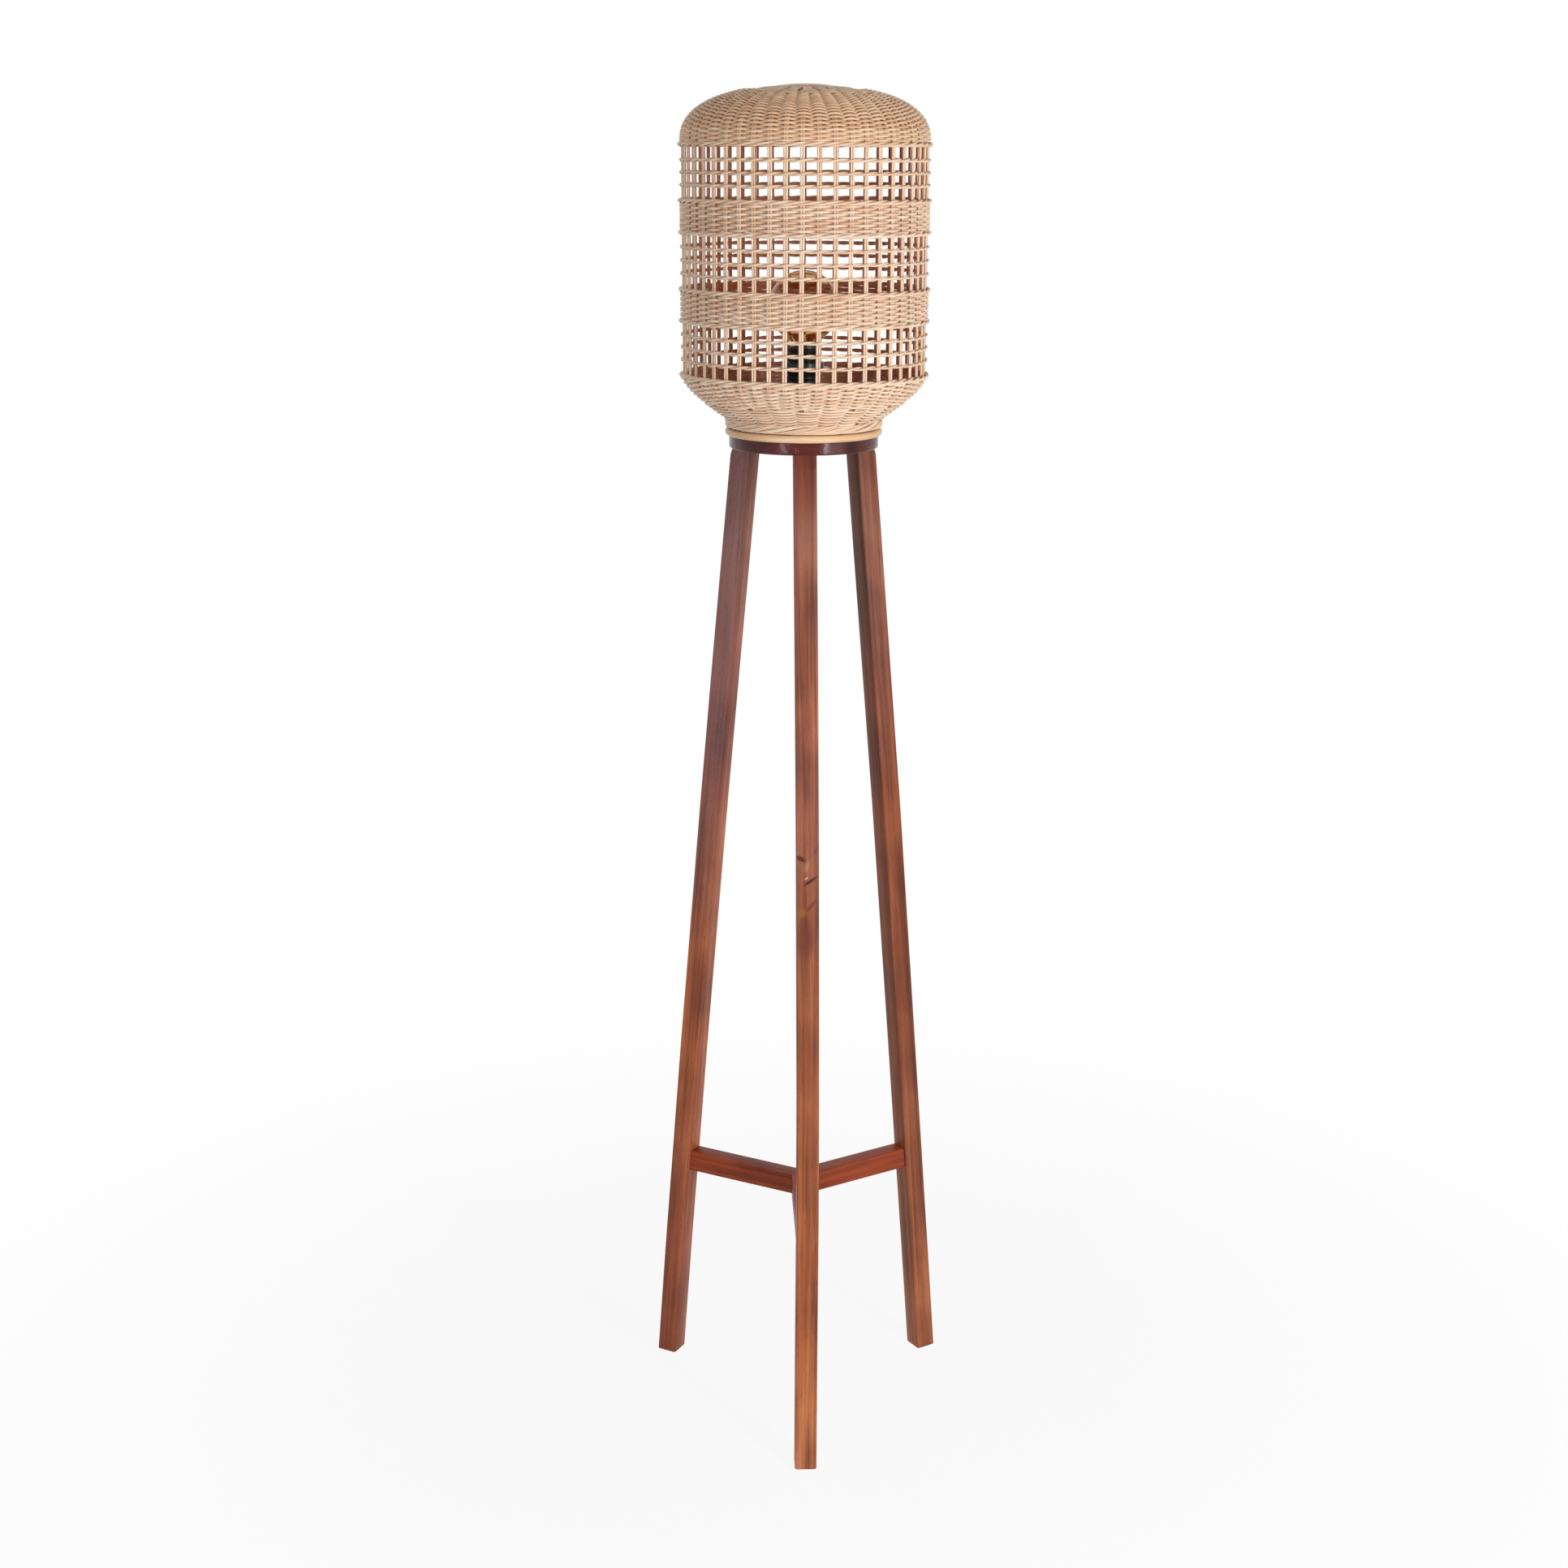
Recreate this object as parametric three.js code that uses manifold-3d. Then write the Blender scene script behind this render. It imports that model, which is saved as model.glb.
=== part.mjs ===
// A rattan floor lamp: three splayed wooden legs under a disc, an E27 lampholder with a globe bulb,
// and a hand-woven shade that stands on the disc. Millimetres, +Z up, the floor at z = 0.

import * as THREE from "three";
import { mergeVertices } from "three/addons/utils/BufferGeometryUtils.js";
import Module from "manifold-3d";

const wasm = await Module();
wasm.setup();

// Stand
const disc_ledge = 1214;
const disc_thickness = 13;
const disc_radius = 87;
const disc_edge_round = 2.5;
const step_height = 4;
const step_play = 0.6;
const leg_section = 26;
const leg_edge_round = 2.5;
const leg_proud = 1.5;
const foot_radius = 193.4;
const stretcher_mid = 280;
const stretcher_height = 26;
const stretcher_width = 21;

// Fasteners of the stand
const screw_shank_radius = 2.5;
const screw_head_radius = 4.6;
const screw_length = 48;
const dowel_radius = 4;
const dowel_length = 30;

// Lampholder and the threaded tube that carries it
const tube_radius = 5;
const tube_bore = 3.5;
const tube_below_nut = 5;
const nut_flats = 14;
const nut_height = 4;
const washer_radius = 11;
const washer_thickness = 1.5;
const bare_tube = 26.5;
const holder_radius = 20;
const holder_wall = 2.2;
const holder_neck_radius = 9;
const holder_neck_height = 6;
const holder_shoulder = 8;
const holder_cap_height = 26;
const sleeve_height = 38.5;
const sleeve_lip = 2;
const core_height = 20;
const shell_radius = 14.2;
const shell_wall = 0.5;
const contact_radius = 4;
const contact_height = 1.8;
const flange_radius = 28.75;
const flange_height = 9;
const flange_rim = 3;
const flange_drop = 18.5;

// Bulb
const bulb_tip_radius = 4.8;
const bulb_tip_height = 1.8;
const insulator_radius = 10;
const insulator_height = 4;
const cap_radius = 13.2;
const cap_wall = 0.4;
const cap_height = 21.5;
const globe_radius = 40.5;
const bulb_length = 114.5;
const glass_wall = 0.9;
const glass_neck_depth = 7;
const glass_neck_rise = 6;
const stem_height = 42;
const stem_tip_radius = 2.2;
const filament_radius = 13;
const filament_height = 26;
const filament_wire = 0.8;
const filament_loops = 12;
const filament_turn_share = 0.9;
const shoulder_angle = 53;

// Shade: the rattan itself
const rod = 2.6;
const weaver = 2.5;
const hoop_tube = 8.5;
const hoop_radius = 85.8;
const border_thickness = 4.5;
const border_height = 11.2;
const rope_height = 6;
const rope_depth = 4.5;

// Shade: its outline, from the hoop up
const shade_radius = 140.8;
const neck_radius = 92.3;
const neck_gap = 3.8;
const bowl_foot_radius = 98;
const bowl_height = 42;
const lower_lattice = 56;
const band_height = 27;
const middle_lattice = 58;
const upper_lattice = 54.5;
const dome_height = 62;
const hub_settle = 10;

// Counts, forms and clearances
const stake_pairs = 48;
const hub_layers = 4;
const rings_in_lattice = 3;
const bowl_control_shares = [0.865, 0.583];
const dome_exponent = 2.4;
const bowl_steps = 3;
const dome_steps = 4;
const disc_sides = 24;
const hoop_sides = 6;
const round_segments = 16;
const glass_steps = 6;
const wire_steps = 26;
const small_segments = 12;
const fit = 0.3;
const running_fit = 0.4;

// Heights and sizes that follow from the ones above
const disc_underside = disc_ledge - disc_thickness;
const step_top = disc_ledge + step_height;
const hoop_reach = hoop_tube / 2 / Math.cos(Math.PI / hoop_sides);
const step_radius = hoop_radius - hoop_reach - step_play;
const tube_hole = tube_radius + fit;
const holder_base = step_top + washer_thickness + nut_height + bare_tube;
const pair_width = 2 * rod;
const stake_step = (2 * Math.PI) / stake_pairs;
const stake_radius = shade_radius - weaver - fit - rod / 2;
const wall_sides = stake_pairs / 2;
const to_corner = Math.cos(stake_step / 2) / Math.cos(stake_step);
const stake_pitch = 2 * stake_radius * Math.sin(stake_step / 2);
const hoop_top = disc_ledge + hoop_tube;
const border_top = hoop_top + border_height;
const bowl_foot = border_top + neck_gap;
const bowl_top = bowl_foot + bowl_height;
const lower_lattice_foot = bowl_top + rope_height;
const lower_band_foot = lower_lattice_foot + lower_lattice;
const full_band = 2 * rope_height + band_height;
const middle_lattice_foot = lower_band_foot + full_band;
const upper_band_foot = middle_lattice_foot + middle_lattice;
const upper_lattice_foot = upper_band_foot + full_band;
const dome_rope_foot = upper_lattice_foot + upper_lattice;
const dome_foot = dome_rope_foot + rope_height;
const rope_inner = stake_radius + rod / 2 + fit;
const rope_outer = rope_inner + rope_depth;
const hub_radius = (pair_width + fit) / (2 * Math.sin(stake_step / 2));
const weave_start_radius = hub_radius + hub_settle;

// Finishes
function finish(color, roughness, metalness = 0) {
  return new THREE.MeshStandardMaterial({ color, roughness, metalness });
}
const stained_wood = () => finish(0x84452f, 0.45);
const dark_wood = () => finish(0x552620, 0.3);
const bare_wood = () => finish(0xc79a6b, 0.7);
const peeled_rattan = () => finish(0xdcb588, 0.6);
const black_phenolic = () => finish(0x141414, 0.25);
const white_ceramic = () => finish(0xe9e4da, 0.35);
const brass = () => finish(0xc49a4a, 0.3, 1);
const zinc_steel = () => finish(0xaeb0b3, 0.35, 1);
const black_glass = () => finish(0x101014, 0.15);
const filament_metal = () => finish(0xb98a4a, 0.4, 1);
function amber_glass() {
  const glass = finish(0xd79a55, 0.05);
  glass.transparent = true;
  glass.opacity = 0.35;
  return glass;
}

// Closed meshes and booleans

// Six times the volume that a closed indexed mesh encloses, negative when its faces point in.
function signed_volume(geometry) {
  const point = geometry.attributes.position;
  const [a, b, c] = [new THREE.Vector3(), new THREE.Vector3(), new THREE.Vector3()];
  let sum = 0;
  for (let i = 0; i < geometry.index.count; i += 3) {
    a.fromBufferAttribute(point, geometry.index.getX(i));
    b.fromBufferAttribute(point, geometry.index.getX(i + 1));
    c.fromBufferAttribute(point, geometry.index.getX(i + 2));
    sum += a.dot(b.cross(c));
  }
  return sum;
}

// Merges shared vertices, drops the flat triangles on a revolve's axis and turns the faces outward.
function closed(geometry) {
  const bare = geometry.clone();
  bare.deleteAttribute("normal");
  bare.deleteAttribute("uv");
  const merged = mergeVertices(bare);
  const kept = [];
  for (let i = 0; i < merged.index.count; i += 3) {
    const [a, b, c] = [0, 1, 2].map((k) => merged.index.getX(i + k));
    if (a !== b && b !== c && c !== a) kept.push(a, b, c);
  }
  merged.setIndex(kept);
  if (signed_volume(merged) < 0) {
    const turned = [];
    for (let i = 0; i < kept.length; i += 3) turned.push(kept[i], kept[i + 2], kept[i + 1]);
    merged.setIndex(turned);
  }
  return merged;
}

function to_solid(geometry) {
  const mesh = closed(geometry);
  const vertProperties = new Float32Array(mesh.attributes.position.array);
  const triVerts = new Uint32Array(mesh.index.array);
  return new wasm.Manifold(new wasm.Mesh({ numProp: 3, vertProperties, triVerts }));
}

function to_geometry(solid) {
  const mesh = solid.getMesh();
  const geometry = new THREE.BufferGeometry();
  geometry.setAttribute("position", new THREE.BufferAttribute(mesh.vertProperties, 3));
  geometry.setIndex(new THREE.BufferAttribute(mesh.triVerts, 1));
  return geometry;
}

function cut(geometry, ...tools) {
  const body = to_solid(geometry);
  return to_geometry(tools.reduce((solid, tool) => solid.subtract(to_solid(tool)), body));
}

function joined(pieces) {
  const solids = pieces.map(to_solid);
  return to_geometry(solids.reduce((whole, piece) => whole.add(piece)));
}

function mesh(name, geometry, material) {
  const body = closed(geometry);
  body.computeVertexNormals();
  const piece = new THREE.Mesh(body, material);
  piece.name = name;
  return piece;
}

// Turned forms

// Turns a closed or axis-to-axis profile of [radius, height] points about Z.
function revolve(profile, segments = round_segments, start = 0) {
  const points = profile.map(([r, z]) => new THREE.Vector2(r, z));
  const geometry = new THREE.LatheGeometry(points, segments, start, 2 * Math.PI);
  geometry.rotateX(Math.PI / 2);
  return geometry;
}

// A tube, washer or sleeve: a rectangle turned about Z.
function sleeve(inner, outer, low, high, segments = round_segments) {
  return revolve([[inner, low], [outer, low], [outer, high], [inner, high], [inner, low]], segments);
}

// A plain round bar on the axis.
function bar(radius, low, high, segments = small_segments) {
  return revolve([[0, low], [radius, low], [radius, high], [0, high]], segments);
}

// Points of a quarter round from one corner angle to the next, in radians.
function arc(centre_r, centre_z, radius, from, to, steps) {
  return Array.from({ length: steps + 1 }, (_, i) => {
    const turn = from + ((to - from) * i) / steps;
    return [centre_r + radius * Math.cos(turn), centre_z + radius * Math.sin(turn)];
  });
}

function hexagon(across_flats) {
  const corner = across_flats / Math.sqrt(3);
  const points = Array.from({ length: 6 }, (_, i) => {
    return new THREE.Vector2(corner * Math.cos((i * Math.PI) / 3), corner * Math.sin((i * Math.PI) / 3));
  });
  return new THREE.Shape(points);
}

// The stand: everything here is worked out along +X and then turned to each leg's own direction.
const leg_slope = slope_of_legs();
const leg_depth = leg_section * Math.hypot(1, leg_slope);

// The lean that keeps each leg's outer face a little proud of the disc's rim, found in a few rounds
// because the section of a leaning leg is deeper when it is cut level.
function slope_of_legs() {
  let slope = 0;
  for (let round = 0; round < 4; round += 1) {
    const top_centre = disc_radius + leg_proud - (leg_section * Math.hypot(1, slope)) / 2;
    slope = (foot_radius - top_centre) / disc_underside;
  }
  return slope;
}

function leg_centre(height) {
  return foot_radius - leg_slope * height;
}

function rounded_rectangle(depth, width, radius) {
  const [x, y] = [depth / 2, width / 2];
  const shape = new THREE.Shape();
  shape.moveTo(x - radius, -y);
  shape.absarc(x - radius, radius - y, radius, -Math.PI / 2, 0, false);
  shape.absarc(x - radius, y - radius, radius, 0, Math.PI / 2, false);
  shape.absarc(radius - x, y - radius, radius, Math.PI / 2, Math.PI, false);
  shape.absarc(radius - x, radius - y, radius, Math.PI, 1.5 * Math.PI, false);
  return shape;
}

// A wood screw with a countersunk head, its top level with the raised middle of the disc.
function screw_profile(play) {
  const shank = screw_shank_radius + play;
  const head = screw_head_radius + play;
  const tip = step_top - screw_length - play;
  return [[0, tip], [shank, tip + shank], [shank, step_top - head + shank], [head, step_top], [0, step_top]];
}

function screw_at_leg(play, overrun = 0) {
  const profile = screw_profile(play);
  if (overrun > 0) {
    const above = step_top + overrun;
    profile.splice(-1, 1, [screw_head_radius + play, above], [0, above]);
  }
  return revolve(profile, small_segments).translate(leg_centre(disc_underside), 0, 0);
}

// A level dowel across the joint of a leg and its stretcher arm.
function dowel(play) {
  const half = dowel_length / 2 + play;
  const joint = leg_centre(stretcher_mid) - leg_depth / 2;
  return bar(dowel_radius + play, -half, half, small_segments)
    .rotateY(Math.PI / 2)
    .translate(joint, 0, stretcher_mid);
}

// A leg is a level rounded square swept up to the disc and leaned in.
function leg() {
  const section = rounded_rectangle(leg_depth, leg_section, leg_edge_round);
  const options = { depth: disc_underside, bevelEnabled: false, curveSegments: 2 };
  const geometry = new THREE.ExtrudeGeometry(section, options);
  const lean = new THREE.Matrix4().set(1, 0, -leg_slope, foot_radius, 0, 1, 0, 0, 0, 0, 1, 0, 0, 0, 0, 1);
  return cut(geometry.applyMatrix4(lean), screw_at_leg(fit), dowel(fit));
}

// One arm of the Y: a mitred point at the lamp's axis, and an outer end cut to the leg's lean.
function stretcher() {
  const half = stretcher_width / 2;
  const tip = fit / 2 / Math.sin(Math.PI / 3);
  const shoulder = tip + half / Math.tan(Math.PI / 3);
  const outer = leg_centre(stretcher_mid) - leg_depth / 2 - fit;
  const plan = new THREE.Shape([
    new THREE.Vector2(tip, 0),
    new THREE.Vector2(shoulder, -half),
    new THREE.Vector2(outer, -half),
    new THREE.Vector2(outer, half),
    new THREE.Vector2(shoulder, half),
  ]);
  const geometry = new THREE.ExtrudeGeometry(plan, { depth: stretcher_height, bevelEnabled: false });
  geometry.translate(0, 0, -stretcher_height / 2);
  const point = geometry.attributes.position;
  for (let i = 0; i < point.count; i += 1) {
    if (point.getX(i) > outer - fit) point.setX(i, outer - leg_slope * point.getZ(i));
  }
  geometry.translate(0, 0, stretcher_mid);
  return cut(geometry, dowel(fit));
}

// The disc: a rounded lower rim, the ledge for the hoop and the raised middle inside it.
function top_disc(directions) {
  const rim = disc_radius - disc_edge_round;
  const profile = [
    [tube_hole, disc_underside],
    ...arc(rim, disc_underside + disc_edge_round, disc_edge_round, -Math.PI / 2, 0, 2),
    [disc_radius, disc_ledge],
    [step_radius, disc_ledge],
    [step_radius, step_top],
    [tube_hole, step_top],
    [tube_hole, disc_underside],
  ];
  const holes = directions.map((turn) => screw_at_leg(fit, step_height).rotateZ(turn));
  return cut(revolve(profile, disc_sides), ...holes);
}

function build_stand() {
  const stand = new THREE.Group();
  const places = { front: -Math.PI / 2, left: (5 * Math.PI) / 6, right: Math.PI / 6 };
  stand.add(mesh("top_disc", top_disc(Object.values(places)), dark_wood()));
  for (const [side, turn] of Object.entries(places)) {
    const corner = new THREE.Group();
    corner.rotation.z = turn;
    corner.add(mesh(`leg_${side}`, leg(), stained_wood()));
    corner.add(mesh(`stretcher_${side}`, stretcher(), stained_wood()));
    corner.add(mesh(`leg_screw_${side}`, screw_at_leg(0), zinc_steel()));
    corner.add(mesh(`dowel_${side}`, dowel(0), bare_wood()));
    stand.add(corner);
  }
  return stand;
}

// The lampholder on its hollow threaded tube.
function lock_nut(low) {
  const shape = hexagon(nut_flats);
  const hole = new THREE.Path();
  hole.absarc(0, 0, tube_hole, 0, 2 * Math.PI, true);
  shape.holes.push(hole);
  const options = { depth: nut_height, bevelEnabled: false, curveSegments: small_segments / 2 };
  return new THREE.ExtrudeGeometry(shape, options).translate(0, 0, low);
}

const cap_floor = holder_base + holder_neck_height + holder_shoulder - holder_wall;
const cap_top = holder_base + holder_cap_height;
const core_foot = cap_floor + fit;
const core_top = core_foot + core_height;
const sleeve_foot = cap_top + fit;
const sleeve_top = sleeve_foot + sleeve_height;

function threaded_tube() {
  const foot = disc_underside - washer_thickness - nut_height - tube_below_nut;
  return sleeve(tube_bore, tube_radius, foot, cap_floor, small_segments);
}

// The domed lower half of the holder, hollow above its floor, with the hole that takes the tube.
function holder_cap() {
  const neck_top = holder_base + holder_neck_height;
  const shoulder_top = neck_top + holder_shoulder;
  const inner = holder_radius - holder_wall;
  return revolve([
    [tube_hole, holder_base],
    [holder_neck_radius, holder_base],
    [holder_neck_radius, neck_top],
    [holder_radius - holder_wall, neck_top + holder_shoulder / 3],
    [holder_radius, shoulder_top],
    [holder_radius, cap_top],
    [inner, cap_top],
    [inner, cap_floor],
    [tube_hole, cap_floor],
    [tube_hole, holder_base],
  ]);
}

function holder_core() {
  return bar(holder_radius - holder_wall - fit, core_foot, core_top, round_segments);
}

// The threaded skirt, with a lip turned in over the screw shell.
function holder_sleeve() {
  const inner = holder_radius - holder_wall;
  const lip = shell_radius + fit;
  const lip_foot = sleeve_top - sleeve_lip;
  return revolve([
    [inner, sleeve_foot],
    [holder_radius, sleeve_foot],
    [holder_radius, sleeve_top],
    [lip, sleeve_top],
    [lip, lip_foot],
    [inner, lip_foot],
    [inner, sleeve_foot],
  ]);
}

function screw_shell() {
  return sleeve(shell_radius - shell_wall, shell_radius, core_top, sleeve_top - sleeve_lip);
}

// The flange ring that screws along the sleeve: a hub with a wide rim at its lower edge.
function shade_ring() {
  const bore = holder_radius + running_fit;
  const hub = bore + holder_wall;
  const top = sleeve_top - flange_drop;
  const foot = top - flange_height;
  return revolve([
    [bore, foot],
    [flange_radius, foot],
    [flange_radius, foot + flange_rim],
    [hub, foot + flange_rim],
    [hub, top],
    [bore, top],
    [bore, foot],
  ]);
}

function build_lampholder() {
  const holder = new THREE.Group();
  const lower_washer = disc_underside - washer_thickness;
  const upper_nut = step_top + washer_thickness;
  const contact_top = core_top + contact_height;
  const washer = (low) => sleeve(tube_hole, washer_radius, low, low + washer_thickness, small_segments);
  holder.add(mesh("threaded_nipple", threaded_tube(), zinc_steel()));
  holder.add(mesh("washer_lower", washer(lower_washer), zinc_steel()));
  holder.add(mesh("lock_nut_lower", lock_nut(lower_washer - nut_height), zinc_steel()));
  holder.add(mesh("washer_upper", washer(step_top), zinc_steel()));
  holder.add(mesh("lock_nut_upper", lock_nut(upper_nut), zinc_steel()));
  holder.add(mesh("holder_cap", holder_cap(), black_phenolic()));
  holder.add(mesh("holder_core", holder_core(), white_ceramic()));
  holder.add(mesh("centre_contact", bar(contact_radius, core_top, contact_top), brass()));
  holder.add(mesh("screw_shell", screw_shell(), brass()));
  holder.add(mesh("holder_sleeve", holder_sleeve(), black_phenolic()));
  holder.add(mesh("shade_ring", shade_ring(), black_phenolic()));
  return holder;
}

// The bulb stands on the holder's centre contact.
const bulb_foot = core_top + contact_height + fit;
const insulator_foot = bulb_foot + bulb_tip_height;
const cap_foot = insulator_foot + insulator_height;
const cap_rim = cap_foot + cap_height;
const globe_centre = bulb_foot + bulb_length - globe_radius;
const neck_outer = cap_radius - cap_wall - fit;
const neck_foot = cap_rim - glass_neck_depth;

// The brass cap is an open cup whose floor has the hole that the insulator fills.
function bulb_cap() {
  const hole = insulator_radius / 2;
  return revolve([
    [hole, cap_foot],
    [insulator_radius, cap_foot],
    [cap_radius, cap_foot + insulator_height],
    [cap_radius, cap_rim],
    [cap_radius - cap_wall, cap_rim],
    [cap_radius - cap_wall, cap_foot + insulator_height + cap_wall],
    [insulator_radius - cap_wall, cap_foot + cap_wall],
    [hole, cap_foot + cap_wall],
    [hole, cap_foot],
  ]);
}

function bulb_insulator() {
  return revolve([
    [0, insulator_foot],
    [bulb_tip_radius, insulator_foot],
    [insulator_radius, cap_foot],
    [0, cap_foot],
  ], small_segments);
}

// The outline of the glass from the neck's end to the crown: a straight neck, a swept shoulder that
// meets the globe in line, and the globe. An inner wall is the same outline drawn in by its thickness.
function glass_outline(inset) {
  const radius = globe_radius - inset;
  const neck = neck_outer - inset;
  const shoulder_foot = cap_rim + glass_neck_rise;
  const from = THREE.MathUtils.degToRad(-shoulder_angle);
  const meet = [radius * Math.cos(from), globe_centre + radius * Math.sin(from)];
  const sweep = new THREE.QuadraticBezierCurve(
    new THREE.Vector2(neck, shoulder_foot),
    new THREE.Vector2(neck, meet[1] - (meet[0] - neck) / Math.tan(-from)),
    new THREE.Vector2(meet[0], meet[1]),
  );
  const shoulder = sweep.getPoints(3).map((p) => [p.x, p.y]);
  return [[neck, neck_foot], ...shoulder, ...arc(0, globe_centre, radius, from, Math.PI / 2, glass_steps).slice(1)];
}

function bulb_glass() {
  const outer = glass_outline(0);
  const inner = glass_outline(glass_wall).reverse();
  const profile = [...outer, ...inner];
  for (const end of [outer.length - 1, outer.length]) profile[end][0] = 0;
  return revolve([...profile, outer[0]]);
}

// A flared foot that closes the neck, drawn up to a slim pillar.
function glass_stem() {
  const flare = neck_outer - glass_wall - fit;
  return revolve([
    [0, neck_foot],
    [flare, neck_foot],
    [flare, neck_foot + glass_wall],
    [stem_tip_radius, neck_foot + stem_height / 3],
    [stem_tip_radius, neck_foot + stem_height],
    [0, neck_foot + stem_height],
  ], small_segments);
}

// One wire that leaves the pillar's top, zigzags round it as a cage and returns to the pillar.
function filament() {
  const foot = neck_foot + stem_height + filament_wire;
  const points = [new THREE.Vector3(-filament_wire, 0, foot)];
  const span = 2 * Math.PI * filament_turn_share;
  for (let i = 0; i <= filament_loops; i += 1) {
    const turn = Math.PI - span / 2 + (span * i) / filament_loops;
    const level = i % 2 ? foot + filament_height : foot;
    const reach = i % 2 ? filament_radius / 2 : filament_radius;
    points.push(new THREE.Vector3(-reach * Math.cos(turn), reach * Math.sin(turn), level));
  }
  const path = new THREE.CatmullRomCurve3(points, false, "chordal");
  const half = filament_wire / 2;
  const section = new THREE.Shape([
    new THREE.Vector2(-half, -half),
    new THREE.Vector2(half, -half),
    new THREE.Vector2(half, half),
    new THREE.Vector2(-half, half),
  ]);
  const options = { steps: wire_steps, extrudePath: path, bevelEnabled: false };
  return new THREE.ExtrudeGeometry(section, options);
}

function build_bulb() {
  const bulb = new THREE.Group();
  bulb.add(mesh("bulb_contact", bar(bulb_tip_radius, bulb_foot, insulator_foot), brass()));
  bulb.add(mesh("bulb_insulator", bulb_insulator(), black_glass()));
  bulb.add(mesh("bulb_cap", bulb_cap(), brass()));
  bulb.add(mesh("bulb_glass", bulb_glass(), amber_glass()));
  bulb.add(mesh("glass_stem", glass_stem(), amber_glass()));
  bulb.add(mesh("filament", filament(), filament_metal()));
  return bulb;
}

// The shade. Its outside is one line of [radius, height] points from the bowl's foot, up the
// straight wall and over the dome to the hub. Every layer of the wall is that line drawn in by a
// named thickness, so the weave, the stakes and the gaps between them follow it together.
function bowl_line() {
  const [radius_share, height_share] = bowl_control_shares;
  const curve = new THREE.QuadraticBezierCurve(
    new THREE.Vector2(bowl_foot_radius, bowl_foot),
    new THREE.Vector2(
      bowl_foot_radius + radius_share * (shade_radius - bowl_foot_radius),
      bowl_foot + height_share * bowl_height,
    ),
    new THREE.Vector2(shade_radius, bowl_top),
  );
  return curve.getPoints(bowl_steps).map((p) => [p.x, p.y]);
}

// A superellipse: rounder than a circle at the shoulder and flatter on top.
function dome_line() {
  const power = 2 / dome_exponent;
  const last = Math.acos((weave_start_radius / shade_radius) ** (1 / power));
  return Array.from({ length: dome_steps + 1 }, (_, i) => {
    const turn = (last * i) / dome_steps;
    return [shade_radius * Math.cos(turn) ** power, dome_foot + dome_height * Math.sin(turn) ** power];
  });
}

// Draws an open line in by a distance, square to each of its straight stretches.
function drawn_in(line, distance) {
  const side = (a, b) => {
    const length = Math.hypot(b[0] - a[0], b[1] - a[1]);
    return [(b[1] - a[1]) / length, (a[0] - b[0]) / length];
  };
  return line.map((point, i) => {
    const before = side(line[Math.max(i - 1, 0)], line[Math.max(i, 1)]);
    const after = side(line[Math.min(i, line.length - 2)], line[Math.min(i + 1, line.length - 1)]);
    const sum = [before[0] + after[0], before[1] + after[1]];
    const scale = 2 / (sum[0] * sum[0] + sum[1] * sum[1]);
    return [point[0] - distance * sum[0] * scale, point[1] - distance * sum[1] * scale];
  });
}

// A many-sided ring with two stakes behind each side, from a section given where it crosses a stake.
function woven_ring(section) {
  const profile = section.map(([r, z]) => [r * to_corner, z]);
  return revolve([...profile, profile[0]], wall_sides);
}

// A woven skin over the stakes: a line and the same line drawn in by the weaver's thickness, with its
// ends kept level where it meets a rope.
function woven_skin(line) {
  const heights = line.map((point) => point[1]);
  const [low, high] = [Math.min(...heights), Math.max(...heights)];
  const inside = drawn_in(line, weaver).map(([r, z]) => [r, Math.min(Math.max(z, low), high)]);
  return woven_ring([...line, ...inside.reverse()]);
}

function woven_band(foot) {
  const low = foot + rope_height;
  return woven_skin([[shade_radius, low], [shade_radius, low + band_height]]);
}

// A wale of twisted strands, fuller outside than where it lies on the stakes.
function wale_rope(foot) {
  const bulge = rope_height / 4;
  return woven_ring([
    [rope_inner, foot],
    [rope_outer, foot + bulge],
    [rope_outer, foot + rope_height - bulge],
    [rope_inner, foot + rope_height],
  ]);
}

// The line along the middle of a stake, from the hoop to its place in the stack at the hub.
function stake_line(layer) {
  const depth = weaver + fit + rod / 2;
  const neck = neck_radius - border_thickness - fit - rod / 2;
  const layer_height = dome_foot + dome_height - rod / 2 - layer * (rod + fit);
  const outside = [...bowl_line(), ...dome_line()];
  return [
    [neck, hoop_top + fit],
    [neck, border_top + neck_gap / 2],
    ...drawn_in(outside, depth),
    [hub_radius, layer_height],
    [hub_radius - 2 * pair_width, layer_height],
  ];
}

// One pair of rods, as a flat ribbon that stands in a plane through the lamp's axis.
function half_stake(line) {
  const outline = [...drawn_in(line, -rod / 2), ...drawn_in(line, rod / 2).reverse()];
  const shape = new THREE.Shape(outline.map(([r, z]) => new THREE.Vector2(r, z)));
  const geometry = new THREE.ExtrudeGeometry(shape, { depth: pair_width, bevelEnabled: false });
  return geometry.translate(0, 0, -pair_width / 2).rotateX(Math.PI / 2);
}

// Twelve pairs that lie side by side across the hub and fan out down both sides of the shade.
function stake_bundle(layer) {
  const pairs_in_arm = stake_pairs / (2 * hub_layers);
  const line = stake_line(layer);
  const width = pairs_in_arm * pair_width;
  const reach = Math.sqrt(hub_radius * hub_radius - (width / 2) ** 2);
  const across = new THREE.BoxGeometry(2 * reach, width, rod).translate(0, 0, line[line.length - 1][1]);
  const pieces = [across];
  for (const side of [0, Math.PI]) {
    for (let i = 0; i < pairs_in_arm; i += 1) {
      const turn = side + (i - (pairs_in_arm - 1) / 2) * stake_step;
      pieces.push(half_stake(line).rotateZ(turn));
    }
  }
  return joined(pieces).rotateZ((layer * Math.PI) / hub_layers);
}

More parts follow.
